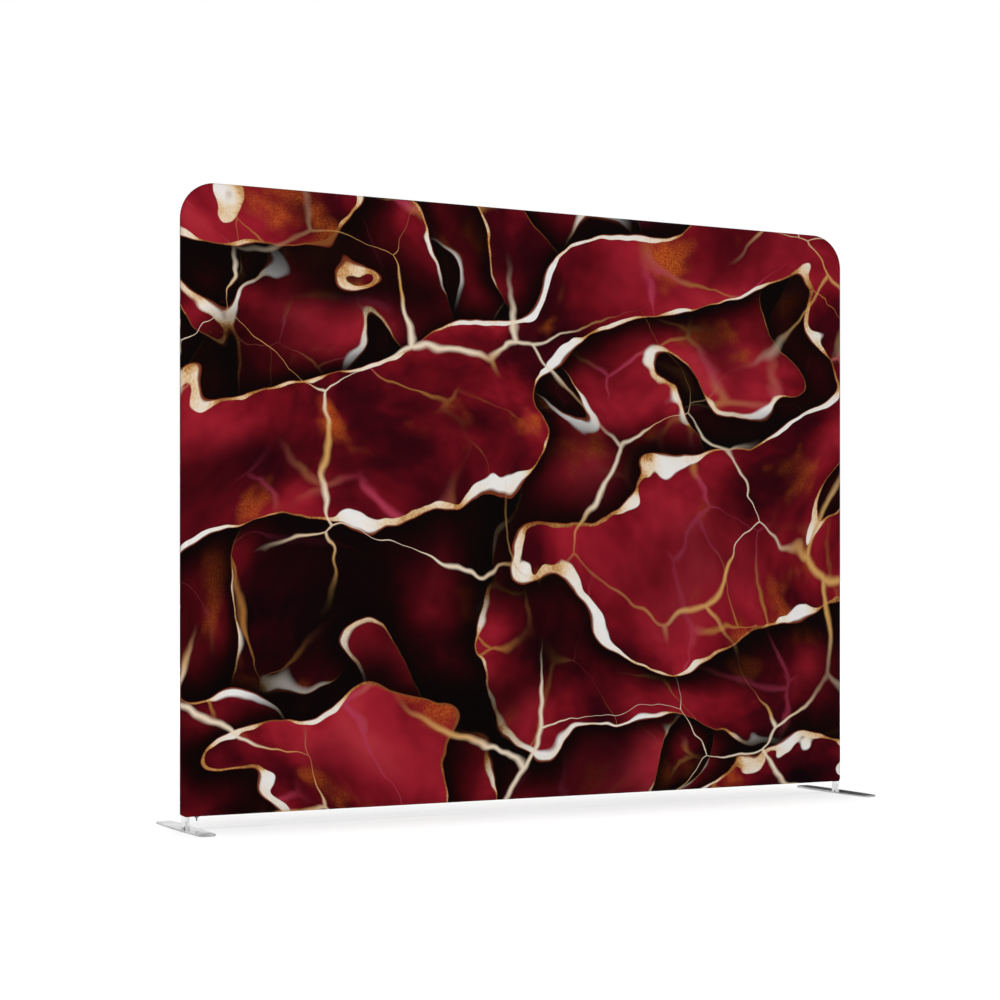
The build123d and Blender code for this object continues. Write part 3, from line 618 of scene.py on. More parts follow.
@dataclass(frozen=True)
class StudioWhite(Finish):
    """White floor, partly lit and partly white of its own where it is seen directly.

    Attributes:
        colour: Colour under the lamps.
        near: White of its own beside the divider, on top of its light.
        far: White of its own far off, where the lamps don't reach.
        reach: Distances between which the one turns into the other.
    """

    colour: float = 0.45
    near: float = 0.34
    far: float = 1.0
    reach: tuple[float, float] = (2.0, 7.0)

    def wire(self, graph: Graph) -> None:
        """Wire the plain colour and the white of its own.

        Args:
            graph: The material's nodes.
        """
        graph.set(Base_Color=(*(self.colour,) * 3, 1.0), Roughness=1.0, Specular_IOR_Level=0.0)
        away = graph.node("VectorMath", graph.object_place(), operation="LENGTH").outputs["Value"]
        white = graph.math("MULTIPLY_ADD", graph.rise(away, *self.reach), self.far - self.near, self.near)
        glow = graph.node("Emission", WHITE, graph.math("MULTIPLY", graph.seen(), white))
        both = graph.node("AddShader", graph.shader.outputs[0], glow.outputs[0])
        graph.feed(graph.output, both.outputs[0])


@dataclass(frozen=True)
class StudioBlack(Finish):
    """Flat black of the studio's cards."""

    def wire(self, graph: Graph) -> None:
        """Wire the plain black."""
        graph.set(Base_Color=(0.02, 0.02, 0.02, 1.0), Roughness=1.0, Specular_IOR_Level=0.0)


def made_object(name: str, mesh: Mesh, finish: Finish) -> Piece:
    """Object at the origin with smooth faces and its finish.

    Args:
        name: Name of the piece.
        mesh: Its shape, which is freed.
        finish: Its finish.

    Returns:
        The object.
    """
    data = bpy.data.meshes.new(name)
    mesh.to_mesh(data)
    mesh.free()
    data.polygons.foreach_set("use_smooth", [True] * len(data.polygons))
    data.materials.append(finish.material())
    made = bpy.data.objects.new(name, data)
    bpy.context.scene.collection.objects.link(made)
    return made


def add_piece(made: Piece, slot: str, *nodes: str) -> Piece:
    """Put a piece on the frame's body.

    Args:
        made: The piece, in place.
        slot: Not used.
        *nodes: Frame nodes that it stands for.

    Returns:
        The piece.
    """
    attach(made, BODY)
    if nodes:
        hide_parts(*nodes)
    LOG.info("%s: %d faces", made.name, len(made.data.polygons))
    return made


def repeat(made: Piece, step: float, count: int, joined: bool = False) -> None:
    """Repeat a piece's shape along X.

    Args:
        made: The piece.
        step: Distance from one to the next.
        count: How many there are.
        joined: Whether each runs on into the next.
    """
    row = made.modifiers.new("row", "ARRAY")
    row.use_relative_offset = False
    row.use_constant_offset = True
    row.constant_offset_displace = (step, 0, 0)
    row.count = count
    row.use_merge_vertices = joined
    row.merge_threshold = MERGE


def lay_grid(mesh: Mesh, counts: tuple[int, int], half_width: float, low: float, tall: float) -> None:
    """Lay an upright grid in the middle plane.

    Args:
        mesh: Shape to add it to.
        counts: Divisions along and up.
        half_width: Half its width.
        low: Height of its lower edge.
        tall: Its height.
    """
    place = Matrix.Translation((0, 0, low + tall / 2)) @ Matrix.Rotation(QUARTER, 4, "X")
    bmesh.ops.create_grid(mesh, x_segments=counts[0], y_segments=counts[1], size=1.0)
    bmesh.ops.scale(mesh, verts=mesh.verts, vec=(half_width, tall / 2, 1.0))
    bmesh.ops.transform(mesh, verts=mesh.verts, matrix=place)


@dataclass(frozen=True)
class Layout:
    """Places of the frame that the cover goes round, read from the frame's own pieces.

    Attributes:
        pole_x: Distance of each side tube's axis from the middle.
        top_z: Height of the top tube's axis.
        low_z: Height of the bottom tube's axis.
        reach: Distance of the cloth's outside from the tubes' axes.
        bend: Radius of the elbows' axis.
        leg_reach: Distance of the drawn-in hem's outside from the leg's axis.
        taper_z: Height at which the cloth beside a leg starts to draw in.
        hem_z: Height of the hem.
        zip_half: Half the zip's length.
        coil_z: Height of the zip.
        coil_half: Half the thickness of the zip's coils.
        coil_reach: Distance of a coil's outer edge from the middle plane.
    """

    pole_x: float
    top_z: float
    low_z: float
    reach: float
    bend: float
    leg_reach: float
    taper_z: float
    hem_z: float
    zip_half: float
    coil_z: float
    coil_half: float
    coil_reach: float

    ELBOW_LEG = 0.05
    CLOTH_ON_LEG = 0.0011
    CLEARANCE = 0.001
    HEM_GAP = 0.0075

    @classmethod
    def read(cls) -> "Layout":
        """Read the loaded frame.

        Returns:
            Its layout.
        """
        panel_low, panel_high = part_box("front_panel")
        pole_low, pole_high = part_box("upright_lower_right")
        leg_low, leg_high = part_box("leg_sleeve_right")
        bottom_low, bottom_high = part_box("bottom_tube_right")
        elbow_low, elbow_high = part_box("elbow_right")
        coil_low, coil_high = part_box("zip_coil_back")
        _, tape_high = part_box("zip_tape_back")
        tube_radius = (pole_high.y - pole_low.y) / 2
        reach = -panel_low.y
        return cls(
            pole_x=(pole_low.x + pole_high.x) / 2,
            top_z=panel_high.z - reach,
            low_z=(bottom_low.z + bottom_high.z) / 2,
            reach=reach,
            bend=elbow_high.z - elbow_low.z - tube_radius - cls.ELBOW_LEG,
            leg_reach=(leg_high.y - leg_low.y) / 2 + cls.CLOTH_ON_LEG,
            taper_z=pole_low.z + cls.CLEARANCE,
            hem_z=panel_low.z,
            zip_half=tape_high.x + cls.CLEARANCE,
            coil_z=(coil_low.z + coil_high.z) / 2,
            coil_half=(coil_high.z - coil_low.z) / 2,
            coil_reach=coil_high.y,
        )

    @property
    def bend_x(self) -> float:
        """Distance of each elbow's centre from the middle."""
        return self.pole_x - self.bend

    @property
    def bend_z(self) -> float:
        """Height of the elbows' centres."""
        return self.top_z - self.bend

    @property
    def roll(self) -> float:
        """Length of cloth round a quarter of a tube."""
        return self.reach * QUARTER

    @property
    def hem_turn(self) -> float:
        """Angle round the bottom tube at which the cloth leaves it for the zip."""
        drop = self.low_z - self.hem_z
        return math.asin(self.reach / math.hypot(self.HEM_GAP, drop)) - math.atan2(self.HEM_GAP, drop)

    @property
    def hem_run(self) -> float:
        """Length of cloth from the bottom tube to the hem."""
        drop = self.low_z - self.hem_z
        return math.sqrt(self.HEM_GAP**2 + drop**2 - self.reach**2)

    @property
    def hem_depth(self) -> float:
        """Length of cloth from the bottom tube's front to the hem."""
        return self.reach * self.hem_turn + self.hem_run


@dataclass(frozen=True)
class Cloth(ABC):
    """A cloth that is cut flat, with X along the divider and Z up, and then wrapped to its place.

    Attributes:
        layout: Places of the frame.
        face: Side of the divider.
    """

    layout: Layout
    face: Face

    @abstractmethod
    def lay_flat(self, mesh: Mesh) -> None:
        """Make the flat cut."""

    @abstractmethod
    def wrapped(self, along: float, up: float) -> Triple:
        """X, depth towards the cloth's own side and Z of a point of the flat cut."""

    def seam_distance(self, along: float, up: float) -> float:
        """Distance of a point of the flat cut from its sewn edge."""
        return 1.0

    def build(self) -> Mesh:
        """Make the wrapped cloth, with the flat cut kept as its map.

        Returns:
            The shape.
        """
        mesh = bmesh.new()
        self.lay_flat(mesh)
        cut = mesh.loops.layers.uv.new(CUT_MAP)
        seam = mesh.verts.layers.float.new(SEAM_FIELD)
        mirrored = -self.face.value
        for corner in (loop for poly in mesh.faces for loop in poly.loops):
            corner[cut].uv = (mirrored * corner.vert.co.x, corner.vert.co.z)
        for vert in mesh.verts:
            along, up = vert.co.x, vert.co.z
            vert[seam] = self.seam_distance(along, up)
            x, depth, z = self.wrapped(along, up)
            vert.co = (x, self.face.value * depth, z)
        bmesh.ops.recalc_face_normals(mesh, faces=mesh.faces)
        return mesh


@dataclass(frozen=True)
class CoverPanel(Cloth):
    """Front or back panel of the cover.

    Attributes:
        counts: Divisions along and up the flat middle.
        corner_steps: Divisions of each round corner.
        hem_rows: Divisions from the bottom tube to the hem.
        thickness: Thickness of the knit.
        seam_dip: How far the sewn edge sinks into the seam.
        seam_pull: Width over which it sinks.
        corner_rise: How much higher the hem is on a leg's outer side.
    """

    counts: tuple[int, int] = (56, 46)
    corner_steps: int = 16
    hem_rows: int = 9
    thickness: float = 0.0006
    seam_dip: float = 0.0007
    seam_pull: float = 0.0011
    corner_rise: float = 0.006

    STRAIGHT_STEPS = 4
    ROLL_STEPS = 8
    SEAM_STEPS = (0.0012, 0.0007, 0.0006)
    BESIDE_LEG = 0.008

    def offsets(self) -> list[float]:
        """Steps outwards from the elbows' centre line to the seam.

        Returns:
            Length of each step.
        """
        layout = self.layout
        beside = layout.pole_x - layout.zip_half
        plain = [(layout.bend - beside) / self.STRAIGHT_STEPS] * self.STRAIGHT_STEPS
        close = [beside / self.STRAIGHT_STEPS] * self.STRAIGHT_STEPS
        turn = [(layout.roll - sum(self.SEAM_STEPS)) / self.ROLL_STEPS] * self.ROLL_STEPS
        return plain + close + turn + list(self.SEAM_STEPS)

    def lay_flat(self, mesh: Mesh) -> None:
        """Make the flat cut: the middle, its borders, the round corners and the hem.

        Args:
            mesh: Empty shape to make it in.
        """
        layout = self.layout
        lay_grid(mesh, self.counts, layout.bend_x, layout.low_z, layout.bend_z - layout.low_z)
        steps = self.offsets()
        self.extend(mesh, 2, layout.bend_z, [Vector((0, 0, step)) for step in steps])
        for sign in (-1, 1):
            self.extend(mesh, 0, sign * layout.bend_x, [Vector((sign * step, 0, 0)) for step in steps])
            centre = Vector((sign * layout.bend_x, 0, layout.bend_z))
            radius = [
                edge
                for edge in mesh.edges
                if edge.is_boundary
                and all(abs(vert.co.z - centre.z) < TOUCH for vert in edge.verts)
                and all(sign * (vert.co.x - centre.x) > -TOUCH for vert in edge.verts)
            ]
            spokes = list({vert for edge in radius for vert in edge.verts}) + radius
            bmesh.ops.spin(
                mesh, geom=spokes, cent=centre, axis=(0, -sign, 0), angle=QUARTER, steps=self.corner_steps
            )
        bmesh.ops.remove_doubles(mesh, verts=mesh.verts, dist=MERGE)
        down = Vector((0, 0, -layout.hem_depth / self.hem_rows))
        self.extend(mesh, 2, layout.low_z, [down] * self.hem_rows)

    def extend(self, mesh: Mesh, axis: int, level: float, steps: Sequence[Vector]) -> None:
        """Extend the cut from the straight part of its boundary at a level.

        Args:
            mesh: The cut.
            axis: Axis along which the level is measured.
            level: Place of the boundary on that axis.
            steps: Moves from each new row to the next.
        """
        top = self.layout.bend_z + TOUCH
        chain = [
            edge
            for edge in mesh.edges
            if edge.is_boundary
            and all(abs(vert.co[axis] - level) < TOUCH and vert.co.z < top for vert in edge.verts)
        ]
        for step in steps:
            grown = bmesh.ops.extrude_edge_only(mesh, edges=chain)["geom"]
            fresh = [part for part in grown if isinstance(part, bmesh.types.BMVert)]
            bmesh.ops.translate(mesh, verts=fresh, vec=step)
            held = set(fresh)
            edges = [part for part in grown if isinstance(part, bmesh.types.BMEdge)]
            chain = [edge for edge in edges if set(edge.verts) <= held]

    def past_tube(self, along: float, up: float) -> tuple[Vector, Vector, float]:
        """Where a point of the flat cut lies against the elbows' centre line.

        Args:
            along: X of the flat cut.
            up: Z of the flat cut.

        Returns:
            The nearest place on that line, the way out from it and how far past the tube's front.
        """
        layout = self.layout
        held = Vector((math.copysign(min(abs(along), layout.bend_x), along), min(up, layout.bend_z)))
        out = Vector((along, up)) - held
        return held, out.normalized() if out.length > 0 else Vector((0.0, 0.0)), out.length - layout.bend

    def seam_distance(self, along: float, up: float) -> float:
        """Distance of a point of the flat cut from the side and top seam."""
        _, _, beyond = self.past_tube(along, max(up, self.layout.low_z))
        return max(0.0, self.layout.roll - beyond)

    def sunk(self, beyond: float) -> float:
        """How far the cloth sinks at a length past the tube's front, where the seam draws it in."""
        left = max(0.0, self.layout.roll - beyond)
        return self.seam_dip * math.exp(-((left / self.seam_pull) ** 2))

    def wrapped(self, along: float, up: float) -> Triple:
        """Place of a point of the flat cut, round the tubes or in the hem.

        Args:
            along: X of the flat cut.
            up: Z of the flat cut.

        Returns:
            X, depth towards the panel's own side and Z.
        """
        layout = self.layout
        if up < layout.low_z - TOUCH / 10:
            return self.hemmed(along, layout.low_z - up)
        held, out, beyond = self.past_tube(along, up)
        if beyond <= 0:
            return along, layout.reach, up
        angle = beyond / layout.reach
        radius = layout.reach - self.sunk(beyond)
        place = held + out * (layout.bend + radius * math.sin(angle))
        return place.x, radius * math.cos(angle), place.y

    def hemmed(self, along: float, down: float) -> Triple:
        """Place of a point of the hem.

        Args:
            along: X of the flat cut.
            down: Length of cloth below the bottom tube's axis.

        Returns:
            X, depth towards the panel's own side and Z.
        """
        layout = self.layout
        beyond = max(0.0, abs(along) - layout.pole_x)
        angle = beyond / layout.reach
        rise = self.corner_rise * smoothstep(angle / QUARTER)
        leg_z = layout.low_z - (layout.low_z - layout.hem_z - rise) * (down / layout.hem_depth)
        drawn = smoothstep((layout.taper_z - leg_z) / (layout.taper_z - layout.hem_z - rise))
        radius = layout.reach + (layout.leg_reach - layout.reach) * drawn
        if beyond > 0:
            radius -= self.sunk(beyond)
            x = math.copysign(layout.pole_x + radius * math.sin(angle), along)
            return x, radius * math.cos(angle), leg_z
        turn = min(layout.hem_turn, down / layout.reach)
        run = max(0.0, down - layout.reach * layout.hem_turn)
        depth = layout.reach * math.cos(turn) - run * math.sin(turn)
        height = layout.low_z - layout.reach * math.sin(turn) - run * math.cos(turn)
        start = layout.zip_half
        beside = smoothstep((abs(along) - start) / (layout.pole_x - self.BESIDE_LEG - start))
        return along, depth + (radius - depth) * beside, height + (leg_z - height) * beside

    def flat_size(self) -> tuple[float, float]:
        """Width and length of the flat cut."""
        layout = self.layout
        return 2 * (layout.pole_x + layout.roll), layout.top_z - layout.low_z + layout.roll + layout.hem_depth

    def make(self, finish: Finish) -> Piece:
        """Make the panel.

        Args:
            finish: The printed knit.

        Returns:
            The piece.
        """
        made = made_object(f"cover_{self.face.label}", self.build(), finish)
        wall = made.modifiers.new("knit", "SOLIDIFY")
        wall.thickness = self.thickness
        wall.offset = -1
        add_piece(made, "printed_fabric", f"{self.face.label}_panel")
        return made


@dataclass(frozen=True)
class ZipTape(Cloth):
    """Tape that is sewn up the inside of the hem and carries a coil.

    Attributes:
        thickness: Thickness of the tape.
        sewn: Width that is sewn to the cloth.
        counts: Divisions along and across it.
        end_gap: How far it stops short of the zip's ends.
        cloth: How far it lies inside the cloth's outside.
    """

    thickness: float = 0.0006
    sewn: float = 0.011
    counts: tuple[int, int] = (96, 6)
    end_gap: float = 0.001
    cloth: float = 0.0009

    def open_width(self) -> float:
        """Width of the tape between the coil and the cloth."""
        return self.layout.HEM_GAP - self.layout.coil_reach - self.cloth

    def lay_flat(self, mesh: Mesh) -> None:
        """Make the flat tape, from the coil's edge at 0 upwards."""
        half = self.layout.zip_half - self.end_gap
        lay_grid(mesh, self.counts, half, 0.0, self.open_width() + self.sewn)

    def wrapped(self, along: float, up: float) -> Triple:
        """Place of a point of the flat tape: level beside the coil, then up inside the cloth.

        Args:
            along: X of the flat tape.
            up: Length from the coil's edge.

        Returns:
            X, depth towards the tape's own side and Z.
        """
        layout = self.layout
        level = min(up, self.open_width())
        rise = up - level
        depth = layout.coil_reach + level + rise * math.sin(layout.hem_turn)
        return along, depth, layout.coil_z + rise * math.cos(layout.hem_turn)

    def make(self, finish: Finish) -> Piece:
        """Make the tape.

        Args:
            finish: The woven tape.

        Returns:
            The piece.
        """
        made = made_object(f"zip_tape_woven_{self.face.label}", self.build(), finish)
        wall = made.modifiers.new("weave", "SOLIDIFY")
        wall.thickness = self.thickness
        wall.offset = 0
        add_piece(made, "zip_tape", f"zip_tape_{self.face.label}")
        return made


@dataclass(frozen=True)
class ZipCoil:
    """One coil of the closed zip, wound from flattened nylon wire.

    Attributes:
        layout: Places of the frame.
        face: Side of the divider.
        pitch: Length of one turn along the zip.
        wire: Radius of the wire.
        sides: Sides of the wire.
        nose: How far the turns reach past the middle plane.
        turns: Turns in the stretch that is repeated.
        steps: Divisions of a turn.
    """

    layout: Layout
    face: Face
    pitch: float = 0.0022
    wire: float = 0.00038
    sides: int = 6
    nose: float = 0.0004
    turns: int = 16
    steps: int = 10

    def winding(self, start: float) -> Mesh:
        """Wind the stretch of the coil that is repeated.

        Args:
            start: X of the zip's start.

        Returns:
            The shape.
        """
        layout = self.layout
        half_height = layout.coil_half - self.wire
        half_width = (layout.coil_reach + self.nose) / 2 - self.wire
        shift = self.pitch / 2 if self.face is Face.BACK else 0.0
        depth = self.face.value * (layout.coil_reach - self.nose) / 2
        facing = Matrix.Rotation(math.pi / self.sides, 3, "Z")
        mesh = bmesh.new()
        bmesh.ops.create_circle(mesh, segments=self.sides, radius=self.wire)
        bmesh.ops.rotate(mesh, verts=mesh.verts, cent=(0, 0, 0), matrix=facing)
        bmesh.ops.translate(mesh, verts=mesh.verts, vec=(0, half_height, 0))
        bmesh.ops.spin(
            mesh,
            geom=mesh.verts[:] + mesh.edges[:],
            cent=(0, 0, 0),
            axis=(1, 0, 0),
            dvec=(self.pitch / self.steps, 0, 0),
            angle=2 * math.pi * self.turns,
            steps=self.steps * self.turns,
        )
        bmesh.ops.scale(mesh, verts=mesh.verts, vec=(1.0, half_width / half_height, 1.0))
        bmesh.ops.translate(mesh, verts=mesh.verts, vec=(start + self.wire + shift, depth, layout.coil_z))
        bmesh.ops.recalc_face_normals(mesh, faces=mesh.faces)
        return mesh

    def make(self, finish: Finish) -> Piece:
        """Make the coil.

        Args:
            finish: The nylon.

        Returns:
            The piece.
        """
        low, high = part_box(f"zip_coil_{self.face.label}")
        made = made_object(f"zip_coil_wound_{self.face.label}", self.winding(low.x), finish)
        stretch = self.pitch * self.turns
        repeat(made, stretch, int((high.x - low.x - self.pitch) / stretch), joined=True)
        return add_piece(made, "zip_coil", f"zip_coil_{self.face.label}")


@dataclass(frozen=True)
class SeamStitching:
    """Thread that shows in the groove of the side and top seam.

    Attributes:
        layout: Places of the frame.
        pitch: Distance from stitch to stitch.
        half_length: Half the length of a stitch.
        radius: Radius of the thread.
        depth: How far the thread lies below the cloth's outside.
        lean: Slant of the stitches.
        foot_gap: How far above the hem the seam ends.
    """

    layout: Layout
    pitch: float = 0.0034
    half_length: float = 0.0013
    radius: float = 0.00022
    depth: float = 0.00035
    lean: float = 0.45
    foot_gap: float = 0.009

    @property
    def side(self) -> float:
        """Length of the seam up one side."""
        return self.layout.bend_z - self.layout.hem_z - self.foot_gap

    @property
    def bow(self) -> float:
        """Radius of the seam round a corner."""
        return self.layout.bend + self.layout.reach - self.depth

    def at(self, climb: float) -> tuple[Vector, Vector]:
        """Place on the right half of the seam.

        Args:
            climb: Length of seam from its foot.

        Returns:
            The place and the way out from it.
        """
        past = climb - self.side
        turn = min(max(past / self.bow, 0.0), QUARTER)
        out = Vector((math.cos(turn), 0, math.sin(turn)))
        place = Vector((self.layout.bend_x, 0, self.layout.bend_z)) + out * self.bow
        place.z += min(past, 0.0)
        place.x -= max(past - self.bow * QUARTER, 0.0)
        return place, out

    def make(self, finish: Finish) -> Piece:
        """Make the stitches, from the left foot over the top to the right one.

        Args:
            finish: The thread.

        Returns:
            The piece.
        """
        half = self.side + self.bow * QUARTER + self.layout.bend_x
        long = Matrix.Diagonal((self.radius, self.half_length, self.radius, 1.0))
        mesh = bmesh.new()
        for number in range(int(2 * half / self.pitch)):
            length = (number + 0.5) * self.pitch
            place, out = self.at(min(length, 2 * half - length))
            if length < half:
                place.x = -place.x
                out.x = -out.x
            slant = Matrix.Rotation(self.lean if number % 2 else -self.lean, 4, out)
            where = Matrix.Translation(place) @ slant @ long
            bmesh.ops.create_icosphere(mesh, subdivisions=1, radius=1.0, matrix=where)
        return add_piece(made_object("seam_stitches", mesh, finish), "printed_fabric")


@dataclass(frozen=True)
class HemStitching:
    """Two rows of stitches that hold a tape to a panel's hem.

    Attributes:
        layout: Places of the frame.
        face: Side of the divider.
        rows: Distances of the rows from the hem's edge.
        pitch: Distance from stitch to stitch.
        half_length: Half the length of a stitch.
        radius: Radius of the thread.
    """

    layout: Layout
    face: Face
    rows: tuple[float, ...] = (0.0035, 0.0085)
    pitch: float = 0.0032
    half_length: float = 0.0012
    radius: float = 0.00024

    def make(self, finish: Finish) -> Piece:
        """Make the stitches.

        Args:
            finish: The thread.

        Returns:
            The piece.
        """
        layout = self.layout
        turn = layout.hem_turn
        half = layout.zip_half - self.pitch
        long = Matrix.Diagonal((self.half_length, self.radius, self.radius, 1.0))
        mesh = bmesh.new()
        for up in self.rows:
            depth = self.face.value * (layout.HEM_GAP + up * math.sin(turn))
            where = Matrix.Translation((-half, depth, layout.hem_z + up * math.cos(turn))) @ long
            bmesh.ops.create_icosphere(mesh, subdivisions=1, radius=1.0, matrix=where)
        made = made_object(f"hem_stitches_{self.face.label}", mesh, finish)
        repeat(made, self.pitch, int(2 * half / self.pitch))
        return add_piece(made, "printed_fabric")


@dataclass(frozen=True)
class Cover:
    """The zipped cover: two panels, their seam and the zip.

    Attributes:
        layout: Places of the frame.
        print_seats: Places in the endless print that the panels are cut from.
    """

    layout: Layout
    print_seats: tuple[Triple, Triple] = ((0.0, 0.0, 0.0), (31.0, 4.0, 0.0))

    # The first colour that a yarn is given is painted shade between its strands.
    THREAD = Yarn("thread")
    NYLON = Yarn("nylon", (0.010, 0.010, 0.011), (0.022, 0.022, 0.024), 0.35)
    TAPE = WovenTape("woven_tape")

    def make(self) -> None:
        """Make every piece of the cover."""
        for face, seat in zip(Face, self.print_seats):
            CoverPanel(self.layout, face).make(PrintedKnit(f"printed_knit_{face.label}", seat=seat))
            HemStitching(self.layout, face).make(self.THREAD)
            ZipTape(self.layout, face).make(self.TAPE)
            ZipCoil(self.layout, face).make(self.NYLON)
        SeamStitching(self.layout).make(self.THREAD)


@dataclass(frozen=True)
class Hardware:
    """Finishes of the pieces that the frame itself holds."""

    POLISHED = Metal(
        "polished_steel", (0.34, 0.34, 0.345), (0.50, 0.50, 0.505), 0.10, 0.08, Grain.ALONG_Y, 0.06
    )
    LEG = Metal("plated_leg", (0.70, 0.70, 0.71), (0.84, 0.84, 0.85), 0.06, 0.05, Grain.ALONG_Z, 0.04)
    BUTTON = Metal("plated_button", (0.58, 0.58, 0.59), (0.78, 0.78, 0.79), 0.12, 0.05, Grain.EVEN, 0.08)
    TUBE_UP = Metal("satin_tube_up", (0.60, 0.60, 0.62), (0.74, 0.74, 0.75), 0.30, 0.08, Grain.ALONG_Z, 0.20)
    TUBE_ACROSS = replace(TUBE_UP, name="satin_tube_across", grain=Grain.ALONG_X)
    BENT = Metal("satin_bend", (0.58, 0.58, 0.60), (0.72, 0.72, 0.73), 0.32, 0.10, Grain.EVEN, 0.12)
    INNER = Metal("mill_aluminium", (0.54, 0.54, 0.56), (0.68, 0.68, 0.70), 0.36, 0.10, Grain.EVEN, 0.20)
    STEEL = Metal("oiled_steel", (0.30, 0.29, 0.28), (0.50, 0.49, 0.48), 0.30, 0.12, Grain.EVEN, 0.15)
    ENAMEL = Enamel("black_enamel")
    PLASTIC = MouldedPlastic("black_plastic")
    BY_SLOT = {
        "foot_steel": POLISHED,
        "leg_metal": LEG,
        "button_steel": BUTTON,
        "inner_metal": INNER,
        "rivet_metal": INNER,
        "stub_steel": STEEL,
        "spring_steel": STEEL,
        "screw_steel": STEEL,
        "slider_metal": ENAMEL,
        "zip_metal": ENAMEL,
    }

    def finish_of(self, node: str, slot: str) -> Finish:
        """Finish of a node.

        Args:
            node: Name of the node.
            slot: Its material slot.

        Returns:
            The finish.
        """
        if slot != "tube_metal":
            return self.BY_SLOT.get(slot, self.PLASTIC)
        if node.startswith("elbow"):
            return self.BENT
        return self.TUBE_ACROSS if node.startswith(("top", "bottom")) else self.TUBE_UP

    def dress(self) -> None:
        """Lay the finishes on the frame's pieces."""
        for part in frame["record"]["subparts"]:
            name = part["node"]
            node = frame["nodes"][name]
            finish = self.finish_of(name, part["material_slot"])
            for spot in node.material_slots:
                spot.material = finish.material()
            LOG.info("%s: %s", name, finish.name)


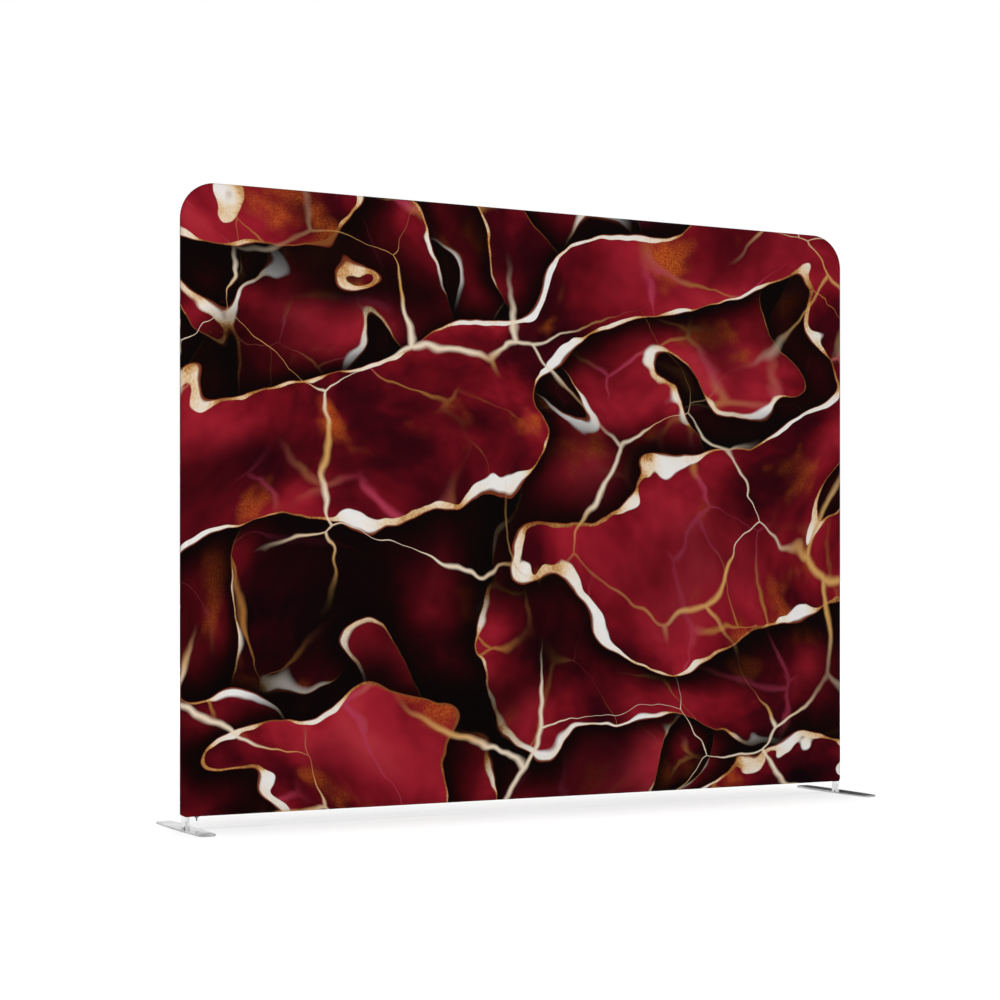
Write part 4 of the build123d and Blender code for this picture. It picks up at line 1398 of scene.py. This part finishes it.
@dataclass(frozen=True)
class Studio:
    """Pale floor, white surroundings, soft lamps and the camera.

    Attributes:
        floor_half: Half the floor's side.
        ambient: Strength of the surroundings on the object.
        card_half: Half the width and height of the black cards.
    """

    floor_half: float = 120.0
    ambient: float = 0.35
    card_half: tuple[float, float] = (2.2, 0.9)

    LAMPS = (
        ("lamp_front", (-3.7, -7.1, 4.7), (3.0, 3.0), 400),
        ("lamp_front_side", (4.0, -7.0, 3.5), (3.0, 3.0), 60),
        ("lamp_back", (3.7, 7.1, 4.7), (3.0, 3.0), 330),
        ("lamp_back_side", (-4.0, 7.0, 3.5), (3.0, 3.0), 60),
    )
    LAMP_ABOVE = ("lamp_above", (0.0, 0.0, 6.0), (6.0, 1.5), 430)
    LAMPS_AIM = Vector((0, 0, 1))
    CARDS = (("card_back", (6.0, 4.6, 0.0)), ("card_front", (-6.0, -4.6, 0.0)))
    CARD_HIDDEN_FROM = ("camera", "diffuse", "transmission", "volume_scatter", "shadow")
    CAMERA_PLACE = (-3.540, -6.429, 0.798)
    CAMERA_TURN = -27.9
    CAMERA_LENS = 78.95
    CAMERA_SHIFT = 0.0707
    CAMERA_SENSOR = 36.0
    CAMERA_SIGHT = 400.0

    def surround(self) -> None:
        """White surroundings that light the object softly."""
        world = bpy.data.worlds.new("surroundings")
        world.use_nodes = True
        bpy.context.scene.world = world
        graph = Graph(world.node_tree, "Background", "OutputWorld")
        strength = graph.math("MULTIPLY_ADD", graph.seen(), 1.0 - self.ambient, self.ambient)
        graph.set(Color=WHITE, Strength=strength)

    def add_sheet(self, name: str, place: Matrix, finish: Finish) -> Piece:
        """Add a flat sheet of the studio.

        Args:
            name: Its name.
            place: Its half size, turn and place.
            finish: Its finish.

        Returns:
            The sheet.
        """
        mesh = bmesh.new()
        bmesh.ops.create_grid(mesh, x_segments=1, y_segments=1, size=1.0, matrix=place)
        made = made_object(name, mesh, finish)
        return made

    def hang_lamp(self, name: str, place: Triple, size: tuple[float, float], power: float) -> Piece:
        """Hang a soft lamp that faces the divider's middle.

        Args:
            name: Its name.
            place: Its place.
            size: Its width and height.
            power: Its power in watts.

        Returns:
            The lamp.
        """
        light = bpy.data.lights.new(name, "AREA")
        light.shape = "RECTANGLE"
        light.size, light.size_y = size
        light.energy = power
        lamp = bpy.data.objects.new(name, light)
        lamp.location = place
        lamp.rotation_euler = (self.LAMPS_AIM - Vector(place)).to_track_quat("-Z", "Y").to_euler()
        bpy.context.scene.collection.objects.link(lamp)
        return lamp

    def light(self) -> None:
        """Lamps before and behind the divider, and one above that lights the floor alone."""
        floor = self.add_sheet("floor", Matrix.Scale(self.floor_half, 4), StudioWhite("floor_white"))
        for lamp in self.LAMPS:
            self.hang_lamp(*lamp)
        lit = bpy.data.collections.new("lit_from_above")
        lit.objects.link(floor)
        self.hang_lamp(*self.LAMP_ABOVE).light_linking.receiver_collection = lit

    def stand_cards(self) -> None:
        """Black cards that only polished metal shows, to give it dark reflections."""
        half_width, half_height = self.card_half
        size = Matrix.Diagonal((half_width, half_height, 1.0, 1.0))
        for name, spot in self.CARDS:
            turn = Vector(spot).to_track_quat("Z", "Y").to_matrix().to_4x4()
            place = Matrix.Translation(Vector(spot) + Vector((0, 0, half_height)))
            card = self.add_sheet(name, place @ turn @ size, StudioBlack("card_black"))
            for ray in self.CARD_HIDDEN_FROM:
                setattr(card, f"visible_{ray}", False)

    def aim_camera(self) -> None:
        """Camera at the photograph's place and angle."""
        data = bpy.data.cameras.new("camera")
        data.sensor_width = self.CAMERA_SENSOR
        data.lens = self.CAMERA_LENS
        data.shift_y = self.CAMERA_SHIFT
        data.clip_end = self.CAMERA_SIGHT
        camera = bpy.data.objects.new("camera", data)
        camera.location = self.CAMERA_PLACE
        camera.rotation_euler = (QUARTER, 0, math.radians(self.CAMERA_TURN))
        bpy.context.scene.collection.objects.link(camera)
        bpy.context.scene.camera = camera

    def make(self) -> None:
        """Set up the studio."""
        self.surround()
        self.light()
        self.stand_cards()
        self.aim_camera()
        bpy.context.scene.view_settings.view_transform = "Standard"


def main() -> None:
    """Build the looks in order and report each piece."""
    logging.basicConfig(level=logging.INFO, format="%(name)s %(message)s")
    Studio().make()
    layout = Layout.read()
    LOG.info("layout: %s", layout)
    Hardware().dress()
    Cover(layout).make()


if __name__ == "__main__":
    main()
